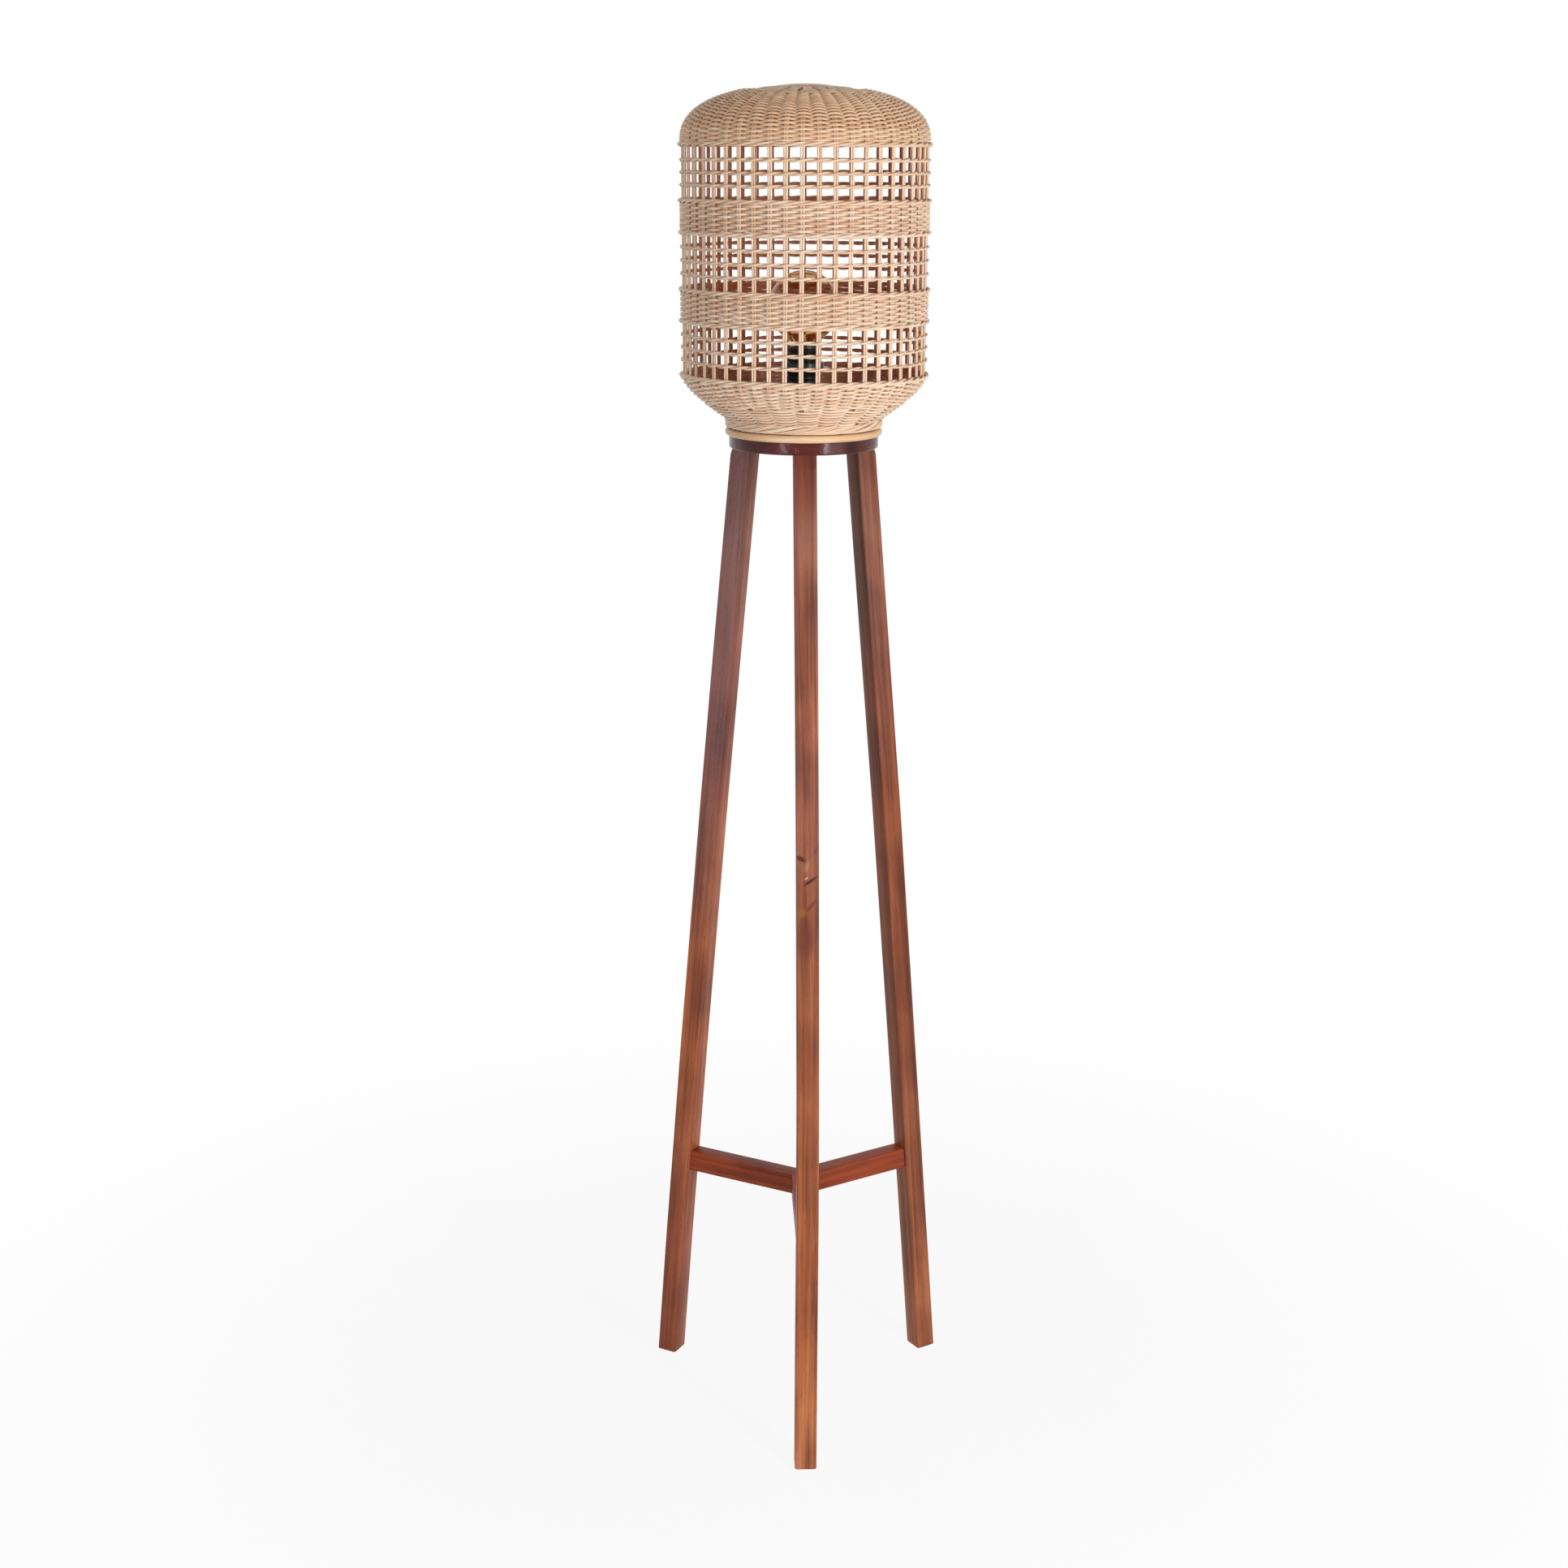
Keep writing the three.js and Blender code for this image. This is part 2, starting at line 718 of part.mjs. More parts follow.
// A weaver that passes outside one stake and inside the next, all the way round, three-sided with one
// flat side down.
function lattice_ring(height, odd) {
  const swing = (rod / 2 + weaver / 2 + 2 * fit) / (1 - pair_width / stake_pitch);
  const corners = [[-1, -1], [1, -1], [0, 1]];
  const sides = corners.length;
  const positions = [];
  const faces = [];
  for (let i = 0; i < stake_pairs; i += 1) {
    const turn = (i + 0.5) * stake_step;
    const middle = stake_radius + ((i + odd) % 2 ? -swing : swing);
    for (const [out, up] of corners) {
      const radius = middle + (out * weaver) / 2;
      positions.push(radius * Math.cos(turn), radius * Math.sin(turn), height + (up * weaver) / 2);
    }
    const [here, next] = [sides * i, sides * ((i + 1) % stake_pairs)];
    for (let k = 0; k < sides; k += 1) {
      const after = (k + 1) % sides;
      faces.push(here + k, here + after, next + after, here + k, next + after, next + k);
    }
  }
  const geometry = new THREE.BufferGeometry();
  geometry.setAttribute("position", new THREE.Float32BufferAttribute(positions, 3));
  geometry.setIndex(faces);
  return geometry;
}

// The hoop that stands on the disc's ledge, with a flat side down.
function base_hoop() {
  const middle = disc_ledge + hoop_tube / 2;
  const from = Math.PI / hoop_sides + Math.PI / 2;
  const section = arc(hoop_radius, middle, hoop_reach, from, from + 2 * Math.PI, hoop_sides);
  return revolve([...section.slice(0, -1), section[0]], disc_sides);
}

function base_border() {
  const bulge = border_height / 5;
  const inner = neck_radius - border_thickness;
  return woven_ring([
    [inner, hoop_top + fit],
    [neck_radius - bulge / 2, hoop_top + fit],
    [neck_radius, hoop_top + bulge],
    [neck_radius, border_top - bulge],
    [neck_radius - bulge / 2, border_top],
    [inner, border_top],
  ]);
}

function build_shade() {
  const shade = new THREE.Group();
  const add = (name, geometry) => shade.add(mesh(name, geometry, peeled_rattan()));
  add("base_hoop", base_hoop());
  add("base_border", base_border());
  add("bowl_weave", woven_skin(bowl_line()));
  add("lower_band", woven_band(lower_band_foot));
  add("upper_band", woven_band(upper_band_foot));
  add("dome_weave", woven_skin(dome_line()));
  const ropes = {
    bowl_rope: bowl_top,
    lower_band_rope_bottom: lower_band_foot,
    lower_band_rope_top: middle_lattice_foot - rope_height,
    upper_band_rope_bottom: upper_band_foot,
    upper_band_rope_top: upper_lattice_foot - rope_height,
    dome_rope: dome_rope_foot,
  };
  for (const [name, foot] of Object.entries(ropes)) add(name, wale_rope(foot));
  const lattices = {
    lower: [lower_lattice_foot, lower_lattice],
    middle: [middle_lattice_foot, middle_lattice],
    upper: [upper_lattice_foot, upper_lattice],
  };
  for (const [zone, [foot, height]] of Object.entries(lattices)) {
    for (let i = 1; i <= rings_in_lattice; i += 1) {
      add(`${zone}_ring_${i}`, lattice_ring(foot + (height * i) / (rings_in_lattice + 1), i % 2));
    }
  }
  for (let layer = 0; layer < hub_layers; layer += 1) {
    add(`stake_bundle_${layer + 1}`, stake_bundle(layer));
  }
  return shade;
}

// The origin is on the floor in the middle of the lamp's extent, so the axis stands a little behind it.
const front_reach = foot_radius + leg_depth / 2;
const foot_back = front_reach * Math.sin(Math.PI / 6) + (leg_section / 2) * Math.cos(Math.PI / 6);
const back_reach = Math.max(rope_outer * to_corner, foot_back);

const lamp = new THREE.Group();
lamp.add(build_stand(), build_lampholder(), build_bulb(), build_shade());
lamp.position.y = (front_reach - back_reach) / 2;

export default lamp;
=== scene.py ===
# %% [markdown]
# # A rattan floor lamp
# Three splayed legs of stained hardwood carry a small turned disc, and a hand-woven shade of peeled
# rattan stands on it round a globe bulb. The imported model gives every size. This script keeps those
# sizes and gives each piece its real surface: rods and weavers that truly cross, wood with its grain,
# glass with its wall. First the model is loaded, before anything is built round it.

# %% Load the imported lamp
import math

import bmesh
import bpy
import numpy as np
from mathutils import Matrix, Vector


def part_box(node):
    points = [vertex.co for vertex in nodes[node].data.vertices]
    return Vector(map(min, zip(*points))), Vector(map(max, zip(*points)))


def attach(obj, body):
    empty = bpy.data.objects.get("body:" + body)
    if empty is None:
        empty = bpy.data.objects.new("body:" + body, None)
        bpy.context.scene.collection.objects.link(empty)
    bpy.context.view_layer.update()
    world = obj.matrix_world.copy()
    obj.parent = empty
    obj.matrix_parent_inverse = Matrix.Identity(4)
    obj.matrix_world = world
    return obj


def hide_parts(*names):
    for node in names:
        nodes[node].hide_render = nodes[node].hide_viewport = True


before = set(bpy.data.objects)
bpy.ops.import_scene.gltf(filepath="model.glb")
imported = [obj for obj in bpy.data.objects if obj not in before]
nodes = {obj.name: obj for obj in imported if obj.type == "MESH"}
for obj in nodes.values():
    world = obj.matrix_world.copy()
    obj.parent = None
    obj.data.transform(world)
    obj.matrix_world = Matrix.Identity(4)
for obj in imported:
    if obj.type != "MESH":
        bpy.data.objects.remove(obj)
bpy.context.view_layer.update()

# %% [markdown]
# Blender works in metres and the lamp was measured in millimetres, so every size below is written as a
# count of millimetres times `MM`. The lamp's own axis stands a little behind the origin. The sleeve of
# the lampholder is turned on that axis, so its box gives the place.

# %% Units and the lamp's axis
MM = 0.001
SEED = 48
sleeve_low, sleeve_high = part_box("holder_sleeve")
AXIS = np.array([(sleeve_low.x + sleeve_high.x) / 2, (sleeve_low.y + sleeve_high.y) / 2, 0.0])
random = np.random.default_rng(SEED)
print("axis at", AXIS)


def on_axis(radius, azimuth, height):
    """Points at a distance from the lamp's axis, towards an azimuth in radians, at a height."""
    radius, azimuth, height = np.broadcast_arrays(radius, azimuth, height)
    return AXIS + np.stack([radius * np.cos(azimuth), radius * np.sin(azimuth), height], -1)


# %% [markdown]
# The camera stands 2.67 m from the lamp and just below the top of the shade, and looks down at the
# middle of the legs. The picture is square, so one focal length in shares of its side serves both ways.
# The tripod stands a couple of degrees off square in the picture, which is the small orbit below.

# %% Camera
PICTURE_SIDE = 1932
FOCAL_PIXELS = 2848.6
SENSOR = 36.0
camera_data = bpy.data.cameras.new("camera")
camera_data.sensor_width = SENSOR
camera_data.lens = FOCAL_PIXELS / PICTURE_SIDE * SENSOR
camera = bpy.data.objects.new("camera", camera_data)
bpy.context.scene.collection.objects.link(camera)

CAMERA_PLACE = Vector((-21.3, -2667.0, 1528.0)) * MM
CAMERA_PITCH, CAMERA_ROLL, CAMERA_ORBIT = 0.2673, 0.0031, -0.038
right = Vector((1, 0, 0))
ahead = Vector((0, math.cos(CAMERA_PITCH), -math.sin(CAMERA_PITCH)))
up = right.cross(ahead)
rolled_right = right * math.cos(CAMERA_ROLL) + up * math.sin(CAMERA_ROLL)
rolled_up = up * math.cos(CAMERA_ROLL) - right * math.sin(CAMERA_ROLL)
tilted = Matrix((rolled_right, rolled_up, -ahead)).transposed().to_4x4()
orbit = Matrix.Rotation(CAMERA_ORBIT, 4, "Z")
camera.matrix_world = Matrix.Translation(Vector(AXIS)) @ orbit @ Matrix.Translation(CAMERA_PLACE) @ tilted
bpy.context.scene.camera = camera
print("lens", round(camera_data.lens, 2), "mm at", [round(v, 3) for v in camera.matrix_world.translation])

# %% [markdown]
# Two small helpers serve every material. One turns a colour as a painter would pick it, in sRGB hex,
# into the linear values that Cycles needs. The other adds a node with its settings and its links, so a
# material reads as a list of what feeds what. The rest fill a colour ramp, tell which rays meet a surface
# from the camera's side, and start an empty material.

# %% Material helpers
def linear(hexa, alpha=1.0):
    """An sRGB hex colour as linear RGBA."""
    shares = [int(hexa[i:i + 2], 16) / 255 for i in (1, 3, 5)]
    return tuple(s / 12.92 if s <= 0.04045 else ((s + 0.055) / 1.055) ** 2.4 for s in shares) + (alpha,)


def feed(node, inputs):
    """Gives a node's inputs a value, or a link from another node's socket."""
    for name, value in inputs.items():
        if isinstance(value, bpy.types.NodeSocket):
            node.id_data.links.new(value, node.inputs[name])
        else:
            node.inputs[name].default_value = value


def add_node(tree, kind, inputs=None, **settings):
    """Adds a node, sets its properties and feeds its inputs."""
    node = tree.nodes.new("ShaderNode" + kind)
    for name, value in settings.items():
        setattr(node, name, value)
    feed(node, inputs or {})
    return node


def set_ramp(node, stops):
    """Gives a colour ramp its stops, as places and hex colours."""
    elements = node.color_ramp.elements
    while len(elements) < len(stops):
        elements.new(0.5)
    for element, (place, hexa) in zip(elements, stops):
        element.position = place
        element.color = linear(hexa)
    return node


def seen_directly(tree):
    """1 for what the camera, a mirror or a glass sees, and 0 for the light that falls on things."""
    ray = add_node(tree, "LightPath").outputs
    seen = ray["Is Camera Ray"]
    for other in ("Is Glossy Ray", "Is Transmission Ray"):
        seen = add_node(tree, "Math", {0: seen, 1: ray[other]}, operation="MAXIMUM").outputs[0]
    return seen


def new_material(name):
    """An empty material with a Principled shader wired to its output."""
    material = bpy.data.materials.new(name)
    material.use_nodes = True
    tree = material.node_tree
    return material, tree, tree.nodes["Principled BSDF"]


print("mid grey is", round(linear("#808080")[0], 3), "in linear light")

# %% [markdown]
# Peeled rattan core is the pale inside of a climbing palm, split round and never varnished. The eye sees
# long fibres about half a millimetre apart, a slow drift from cream to honey along each strand, a few
# brown flecks where the skin was not quite cut away, and a soft waxy gloss. The side of each strand that
# faces into the shade is painted a darker red brown, as painted shade for the dim, warm inside, and the
# dome gets a darker, more golden copy of the material, as painted shade on a top that the lamps light
# less. Every strand carries a map of how far along it and how far round it a point lies, so the fibres
# run with it round every bend, and the middle of the way round is its outer side.

# %% A strand's own coordinates
FIBRE = 0.5 * MM
FIBRE_RUN = 45 * MM
DRIFT_RUN = 90 * MM
FLECK_RUN, FLECK_ACROSS = 6 * MM, 3 * MM
STRAND_ROUND = 8 * MM


def strand_coordinates(tree, run, across):
    """A strand's own coordinates, counted in runs along it and in fibres round it."""
    strand_map = add_node(tree, "UVMap", uv_map="strand")
    scale = (1 / run, STRAND_ROUND / across, 1)
    return add_node(tree, "Mapping", {"Vector": strand_map.outputs["UV"], "Scale": scale}).outputs["Vector"]


def inner_shade_mask(tree):
    """A soft mask for painted shade: 0 on the outer side of a strand, growing to 0.9 on the side that faces
    inwards.
    """
    strand_map = add_node(tree, "UVMap", uv_map="strand").outputs["UV"]
    around = add_node(tree, "SeparateXYZ", {"Vector": strand_map}).outputs["Y"]
    from_outside = add_node(tree, "Math", {0: around, 1: 0.5}, operation="SUBTRACT").outputs[0]
    from_outside = add_node(tree, "Math", {0: from_outside}, operation="ABSOLUTE").outputs[0]
    return add_node(tree, "MapRange", {"Value": from_outside, "From Min": 0.2, "From Max": 0.4, "To Max": 0.9},
                    interpolation_type="SMOOTHSTEP").outputs["Result"]


print("fibres round a strand:", round(STRAND_ROUND / FIBRE))

# %% [markdown]
# The rattan itself is one material in three tones. Fibres and drift add up and pass through one colour
# ramp, the flecks are laid over it, and the inner side is multiplied darker and redder, as painted shade.
# The same fibres roughen the gloss and raise a slight bump. Some light enters the pith and comes out
# beside it, as in all plant fibre, so a little of the surface is lit from below it.

# %% Peeled rattan
# The second brown is painted shade, multiplied into the inner side of every strand.
FLECK_BROWN, INNER_SHADE_BROWN = "#9b6840", "#e2b19c"


def rattan(name, pale, honey, dark, gloss):
    """Peeled rattan between three colours, with its gloss and a painted shade on the side of each strand that
    faces inwards.
    """
    material, tree, shader = new_material(name)
    tone = add_node(tree, "Attribute", attribute_name="tone", attribute_type="GEOMETRY").outputs["Fac"]
    fibres = add_node(tree, "TexNoise", {"Vector": strand_coordinates(tree, FIBRE_RUN, FIBRE), "Scale": 1.0,
                                         "Detail": 3.0, "Roughness": 0.6}).outputs["Fac"]
    drift = add_node(tree, "TexNoise", {"Vector": strand_coordinates(tree, DRIFT_RUN, STRAND_ROUND), "W": tone,
                                        "Scale": 1.0, "Detail": 2.0}, noise_dimensions="4D").outputs["Fac"]
    blend = add_node(tree, "Math", {0: fibres, 1: drift}, operation="ADD").outputs[0]
    shifted = add_node(tree, "Math", {0: blend, 1: tone}, operation="ADD").outputs[0]
    level = add_node(tree, "MapRange", {"Value": shifted, "From Min": 0.65, "From Max": 1.35}).outputs["Result"]
    ramp = set_ramp(add_node(tree, "ValToRGB", {"Fac": level}), [(0.0, dark), (0.5, honey), (1.0, pale)])
    flecks = add_node(tree, "TexNoise", {"Vector": strand_coordinates(tree, FLECK_RUN, FLECK_ACROSS), "W": tone,
                                         "Scale": 1.0, "Detail": 1.0}, noise_dimensions="4D").outputs["Fac"]
    fleck_mask = add_node(tree, "MapRange", {"Value": flecks, "From Min": 0.7, "From Max": 0.78,
                                             "To Max": 0.55}).outputs["Result"]
    flecked = add_node(tree, "Mix", {"Factor": fleck_mask, "A": ramp.outputs["Color"],
                                     "B": linear(FLECK_BROWN)}, data_type="RGBA").outputs["Result"]
    # Painted shade: the inner side of every strand is multiplied darker and redder.
    shaded_inside = add_node(tree, "Mix", {"Factor": 1.0, "A": flecked, "B": linear(INNER_SHADE_BROWN)},
                        data_type="RGBA", blend_type="MULTIPLY").outputs["Result"]
    colour = add_node(tree, "Mix", {"Factor": inner_shade_mask(tree), "A": flecked, "B": shaded_inside}, data_type="RGBA")
    roughness = add_node(tree, "MapRange", {"Value": fibres, "To Min": gloss - 0.06, "To Max": gloss + 0.12})
    bump = add_node(tree, "Bump", {"Height": fibres, "Strength": 0.35, "Distance": 0.12 * MM})
    feed(shader, {"Base Color": colour.outputs["Result"], "Roughness": roughness.outputs["Result"],
                  "Normal": bump.outputs["Normal"], "IOR": 1.5, "Specular IOR Level": 0.28,
                  "Subsurface Weight": 0.4, "Subsurface Radius": (1.0, 0.45, 0.2), "Subsurface Scale": 2 * MM})
    return material


peeled_core = rattan("peeled_rattan_core", "#f8e2cc", "#eed1b6", "#d7ae8d", 0.36)
# The dome's copy is darker and more golden, as painted shade on the top of the shade.
dome_shaded_core = rattan("dome_shaded_rattan_core", "#f4d5b6", "#eac5a2", "#d2a27b", 0.38)
rattan_pole = rattan("rattan_pole", "#efd0a8", "#e0b88c", "#c4925f", 0.34)
print("rattan:", [material.name for material in (peeled_core, dome_shaded_core, rattan_pole)])

# %% [markdown]
# The legs, the stretcher and the disc are hardwood under a red-brown stain, wiped thinner towards the
# feet, where it turns orange. The stain sinks into the pores as short dark dashes, and the growth rings
# show as long bands. Wood is a solid, not a skin, so every wooden piece carries its own coordinates: two
# across the stick and one along it. Each stick starts its third coordinate ten metres further on, so no
# two share a figure, and a mark can be put at one place on one stick.

# %% The grain's coordinates, and marks on it
RING = 5.5 * MM
PORE = 0.9 * MM
PORE_RUN = 14 * MM
BAND_RUN = 260 * MM
CLOUD_ACROSS, CLOUD_RUN = 60 * MM, 130 * MM
RIPPLE_ACROSS, RIPPLE_RUN = 14 * MM, 22 * MM
STICK_APART = 10.0


def grain_attribute(tree):
    """The place of a point in its stick of wood."""
    return add_node(tree, "Attribute", attribute_name="grain", attribute_type="GEOMETRY").outputs["Vector"]


def grain_coordinates(tree, across, along):
    """A wooden piece's own coordinates, counted in steps across and along the stick."""
    return add_node(tree, "Mapping", {"Vector": grain_attribute(tree),
                                      "Scale": (1 / across, 1 / across, 1 / along)}).outputs["Vector"]


def grain_noise(tree, across, along, detail, roughness=0.5, distortion=0.0):
    """A noise that is drawn out along the stick."""
    return add_node(tree, "TexNoise", {"Vector": grain_coordinates(tree, across, along), "Scale": 1.0,
                                       "Detail": detail, "Roughness": roughness,
                                       "Distortion": distortion}).outputs["Fac"]


def spot(tree, stick, across, height, spread, reach, tilt):
    """A soft mask round one place on one stick, spread across it and reach along it, tilted in degrees."""
    centre = (across[0] * MM, across[1] * MM, stick * STICK_APART + height * MM)
    size = (spread * MM, spread * MM, reach * MM)
    squeezed = add_node(tree, "Mapping", {"Vector": grain_attribute(tree), "Location": centre,
                                          "Rotation": (math.radians(tilt), 0, 0), "Scale": size},
                        vector_type="TEXTURE")
    distance = add_node(tree, "VectorMath", {0: squeezed.outputs["Vector"]}, operation="LENGTH")
    return add_node(tree, "MapRange", {"Value": distance.outputs["Value"], "From Min": 1.0, "From Max": 0.3},
                    interpolation_type="SMOOTHSTEP").outputs["Result"]


def painted_sheen_mask(tree, stick, side, low, high, strength):
    """A speckled mask of painted sheen on one side face of one stick, which grows from a low height to a high
    one.
    """
    place = add_node(tree, "SeparateXYZ", {"Vector": grain_attribute(tree)}).outputs
    mask = add_node(tree, "MapRange", {"Value": place["Y"], "From Min": side * 12.0 * MM,
                                       "From Max": side * 12.8 * MM, "To Max": strength}).outputs["Result"]
    foot = stick * STICK_APART
    rise = add_node(tree, "MapRange", {"Value": place["Z"], "From Min": foot + low * MM,
                                       "From Max": foot + high * MM}).outputs["Result"]
    below = add_node(tree, "Math", {0: place["Z"], 1: foot + STICK_APART / 2}, operation="LESS_THAN").outputs[0]
    speckle = add_node(tree, "MapRange", {"Value": grain_noise(tree, PORE, 3 * PORE, 3.0, 0.7),
                                          "From Min": 0.25, "From Max": 0.8}).outputs["Result"]
    for other in (rise, below, speckle):
        mask = add_node(tree, "Math", {0: mask, 1: other}, operation="MULTIPLY").outputs[0]
    return mask


print("pores to a growth ring:", round(RING / PORE, 1))

# %% [markdown]
# The stain's colour is a ramp over the rings and a broad cloud. Each piece multiplies it by its own tint,
# which on the legs also carries a painted sheen, the pores are laid over it, and then the marks: a dark
# fill of wax or a pale scuff, broken up by the rings, and on one face a painted sheen of speckled grey. The
# lacquer on the disc is thick and slightly rippled, as brushed lacquer is, so what it mirrors is drawn out
# and bent.

# %% Stained hardwood
PORE_BROWN = "#4a241c"


def stained_hardwood(name, light, middle, deep, roughness, shine, sheen="#ffffff", ripple=0.0, spots=(),
                     painted_sheen_faces=()):
    """Hardwood between three colours of stain, with its gloss, its ripple in millimetres, its marks and its
    faces of painted sheen.
    """
    material, tree, shader = new_material(name)
    bands = grain_noise(tree, RING, BAND_RUN, 4.0, 0.55, 0.6)
    cloud = grain_noise(tree, CLOUD_ACROSS, CLOUD_RUN, 2.0)
    pores = grain_noise(tree, PORE, PORE_RUN, 2.0, 0.7)
    both = add_node(tree, "Math", {0: bands, 1: cloud}, operation="ADD").outputs[0]
    level = add_node(tree, "MapRange", {"Value": both, "From Min": 0.77, "From Max": 1.23}).outputs["Result"]
    ramp = set_ramp(add_node(tree, "ValToRGB", {"Fac": level}), [(0.0, deep), (0.5, middle), (1.0, light)])
    tint = add_node(tree, "Attribute", attribute_name="tint", attribute_type="GEOMETRY").outputs["Color"]
    colour = add_node(tree, "Mix", {"Factor": 1.0, "A": ramp.outputs["Color"], "B": tint}, data_type="RGBA",
                      blend_type="MULTIPLY").outputs["Result"]
    pore_mask = add_node(tree, "MapRange", {"Value": pores, "From Min": 0.58, "From Max": 0.72,
                                            "To Max": 0.55}).outputs["Result"]
    marks = [(pore_mask, PORE_BROWN)]
    for *place, hexa, strength in spots:
        broken = add_node(tree, "Math", {0: spot(tree, *place), 1: bands}, operation="MULTIPLY").outputs[0]
        weight = add_node(tree, "Math", {0: broken, 1: 2 * strength}, operation="MULTIPLY", use_clamp=True)
        marks.append((weight.outputs[0], hexa))
    # Faces with a painted sheen, a speckled grey laid over the stain.
    for *place, hexa, strength in painted_sheen_faces:
        marks.append((painted_sheen_mask(tree, *place, strength), hexa))
    for mask, hexa in marks:
        colour = add_node(tree, "Mix", {"Factor": mask, "A": colour, "B": linear(hexa)},
                          data_type="RGBA").outputs["Result"]
    rough = add_node(tree, "MapRange", {"Value": pores, "To Min": roughness - 0.05, "To Max": roughness + 0.12})
    bump = add_node(tree, "Bump", {"Height": pores, "Strength": 0.25, "Distance": 0.15 * MM}, invert=True)
    if ripple:
        waves = grain_noise(tree, RIPPLE_ACROSS, RIPPLE_RUN, 2.0)
        bump = add_node(tree, "Bump", {"Height": waves, "Strength": 1.0, "Distance": ripple * MM,
                                       "Normal": bump.outputs["Normal"]})
    feed(shader, {"Base Color": colour, "Roughness": rough.outputs["Result"], "IOR": 1.5,
                  "Normal": bump.outputs["Normal"], "Specular IOR Level": shine,
                  "Specular Tint": linear(sheen)})
    return material


FRONT, LEFT, RIGHT, ARM_FRONT, ARM_LEFT, ARM_RIGHT, DISC = range(7)
print("sticks:", DISC, "and the disc")

# %% [markdown]
# Some marks are plain to see: a filled scar with a bright edge a little over half way up the front leg,
# with darker and paler patches round it, a dark dash on the right leg, a pale rub on the left one, and
# dry streaks of glue on the disc's rim under the shade. One face of the left leg carries a painted sheen,
# a speckled cold grey that grows towards the top. Each mark names its stick, its place across it, its
# height, its spread, reach and tilt, its colour and its strength, in millimetres and degrees.

# %% The marks, and the woods
leg_spots = (
    (FRONT, (13, -8), 745, 4, 9, 60, "#4a2019", 0.9),
    (FRONT, (13, -1), 736, 4, 10, -20, "#a8785c", 0.7),
    (FRONT, (13, 3), 719, 2.5, 14, -55, "#431d17", 1.0),
    (FRONT, (13, -2), 722, 1.2, 3, -50, "#e0b594", 1.0),
    (FRONT, (13, 4), 690, 3, 16, -40, "#5a2a20", 0.6),
    (FRONT, (13, -6), 682, 7, 8, 0, "#a2602f", 0.6),
    (FRONT, (13, -3), 650, 14, 30, 0, "#63291f", 0.6),
    (FRONT, (13, 10), 756, 3, 10, -20, "#5c3a3c", 0.7),
    (RIGHT, (13, -9), 840, 1.6, 16, 0, "#24100e", 1.0),
    (LEFT, (13, 4), 596, 7, 20, 0, "#ad6f3c", 0.6),
)
# The left leg's grey face is a painted sheen.
leg_wood = stained_hardwood("stained_hardwood", "#b66c47", "#985436", "#6c3823", 0.4, 0.24, spots=leg_spots,
                            painted_sheen_faces=((LEFT, 1, 560, 900, "#93787e", 0.8),))
disc_spots = (
    (DISC, (-86.2, 5), -12.6, 4.5, 0.8, 0, "#94625a", 0.9),
    (DISC, (-86.5, 4), -9.6, 4.0, 0.7, 0, "#84504a", 0.8),
    (DISC, (-80, 6), -38, 14, 16, 0, "#5c2016", 0.6),
    (DISC, (-70, 6), 52, 14, 12, 0, "#1c0806", 0.6),
)
disc_wood = stained_hardwood("lacquered_hardwood", "#5c2010", "#4a1a0d", "#300f08", 0.16, 0.34,
                             sheen="#ecdcee", ripple=0.9, spots=disc_spots)
print("marks on the legs:", len(leg_spots), "and on the disc:", len(disc_spots))

# %% [markdown]
# The other finishes are small: black phenolic for the lampholder, which is moulded and glossy; zinc
# plated steel, with the faint cloud that plating leaves; brass, ceramic and the bulb's amber glass. Even
# a plain moulding is never quite even, so each has a fine pattern in its roughness.

# %% Moulded, plated and glazed finishes
def mottled(name, colour, second, roughness, spread, grit, metallic=0.0, bump=0.0):
    """A finish with a fine cloud between two colours and in its roughness."""
    material, tree, shader = new_material(name)
    place = add_node(tree, "TexCoord").outputs["Object"]
    cloud = add_node(tree, "TexNoise", {"Vector": place, "Scale": 1 / grit, "Detail": 3.0}).outputs["Fac"]
    rough = add_node(tree, "MapRange", {"Value": cloud, "To Min": roughness - spread,
                                        "To Max": roughness + spread})
    tint = add_node(tree, "Mix", {"Factor": cloud, "A": linear(colour), "B": linear(second)}, data_type="RGBA")
    feed(shader, {"Base Color": tint.outputs["Result"], "Roughness": rough.outputs["Result"],
                  "Metallic": metallic})
    if bump:
        relief = add_node(tree, "Bump", {"Height": cloud, "Strength": bump, "Distance": 0.1 * MM})
        feed(shader, {"Normal": relief.outputs["Normal"]})
    return material


black_phenolic = mottled("black_phenolic", "#121212", "#1a1918", 0.24, 0.05, 3 * MM, bump=0.1)
zinc_steel = mottled("zinc_plated_steel", "#b4b6b8", "#9fa1a6", 0.34, 0.08, 2 * MM, metallic=1.0, bump=0.2)
stamped_brass = mottled("stamped_brass", "#c8a050", "#b88c3c", 0.3, 0.08, 2 * MM, metallic=1.0, bump=0.1)
glazed_ceramic = mottled("glazed_ceramic", "#ece8df", "#e2dccf", 0.2, 0.04, 4 * MM)
black_glass = mottled("black_glass", "#0d0d10", "#15151a", 0.12, 0.03, 3 * MM)
bare_wood = mottled("bare_beech", "#cda678", "#bb9165", 0.65, 0.08, 1.5 * MM, bump=0.3)
filament_wire = mottled("coated_wire", "#c79a55", "#a97c3c", 0.35, 0.08, 1 * MM, metallic=1.0)
print("finishes so far:", [material.name for material in bpy.data.materials])

# %% [markdown]
# The bulb is blown from glass with a warm amber tint, and its stem from clear glass. Blown glass is
# never quite even, so its polish wavers slowly. A light path lets light go straight through the thin
# wall, so the bulb's shadow is tinted and not black.

# %% Blown glass
GLASS_WAVE = 25 * MM


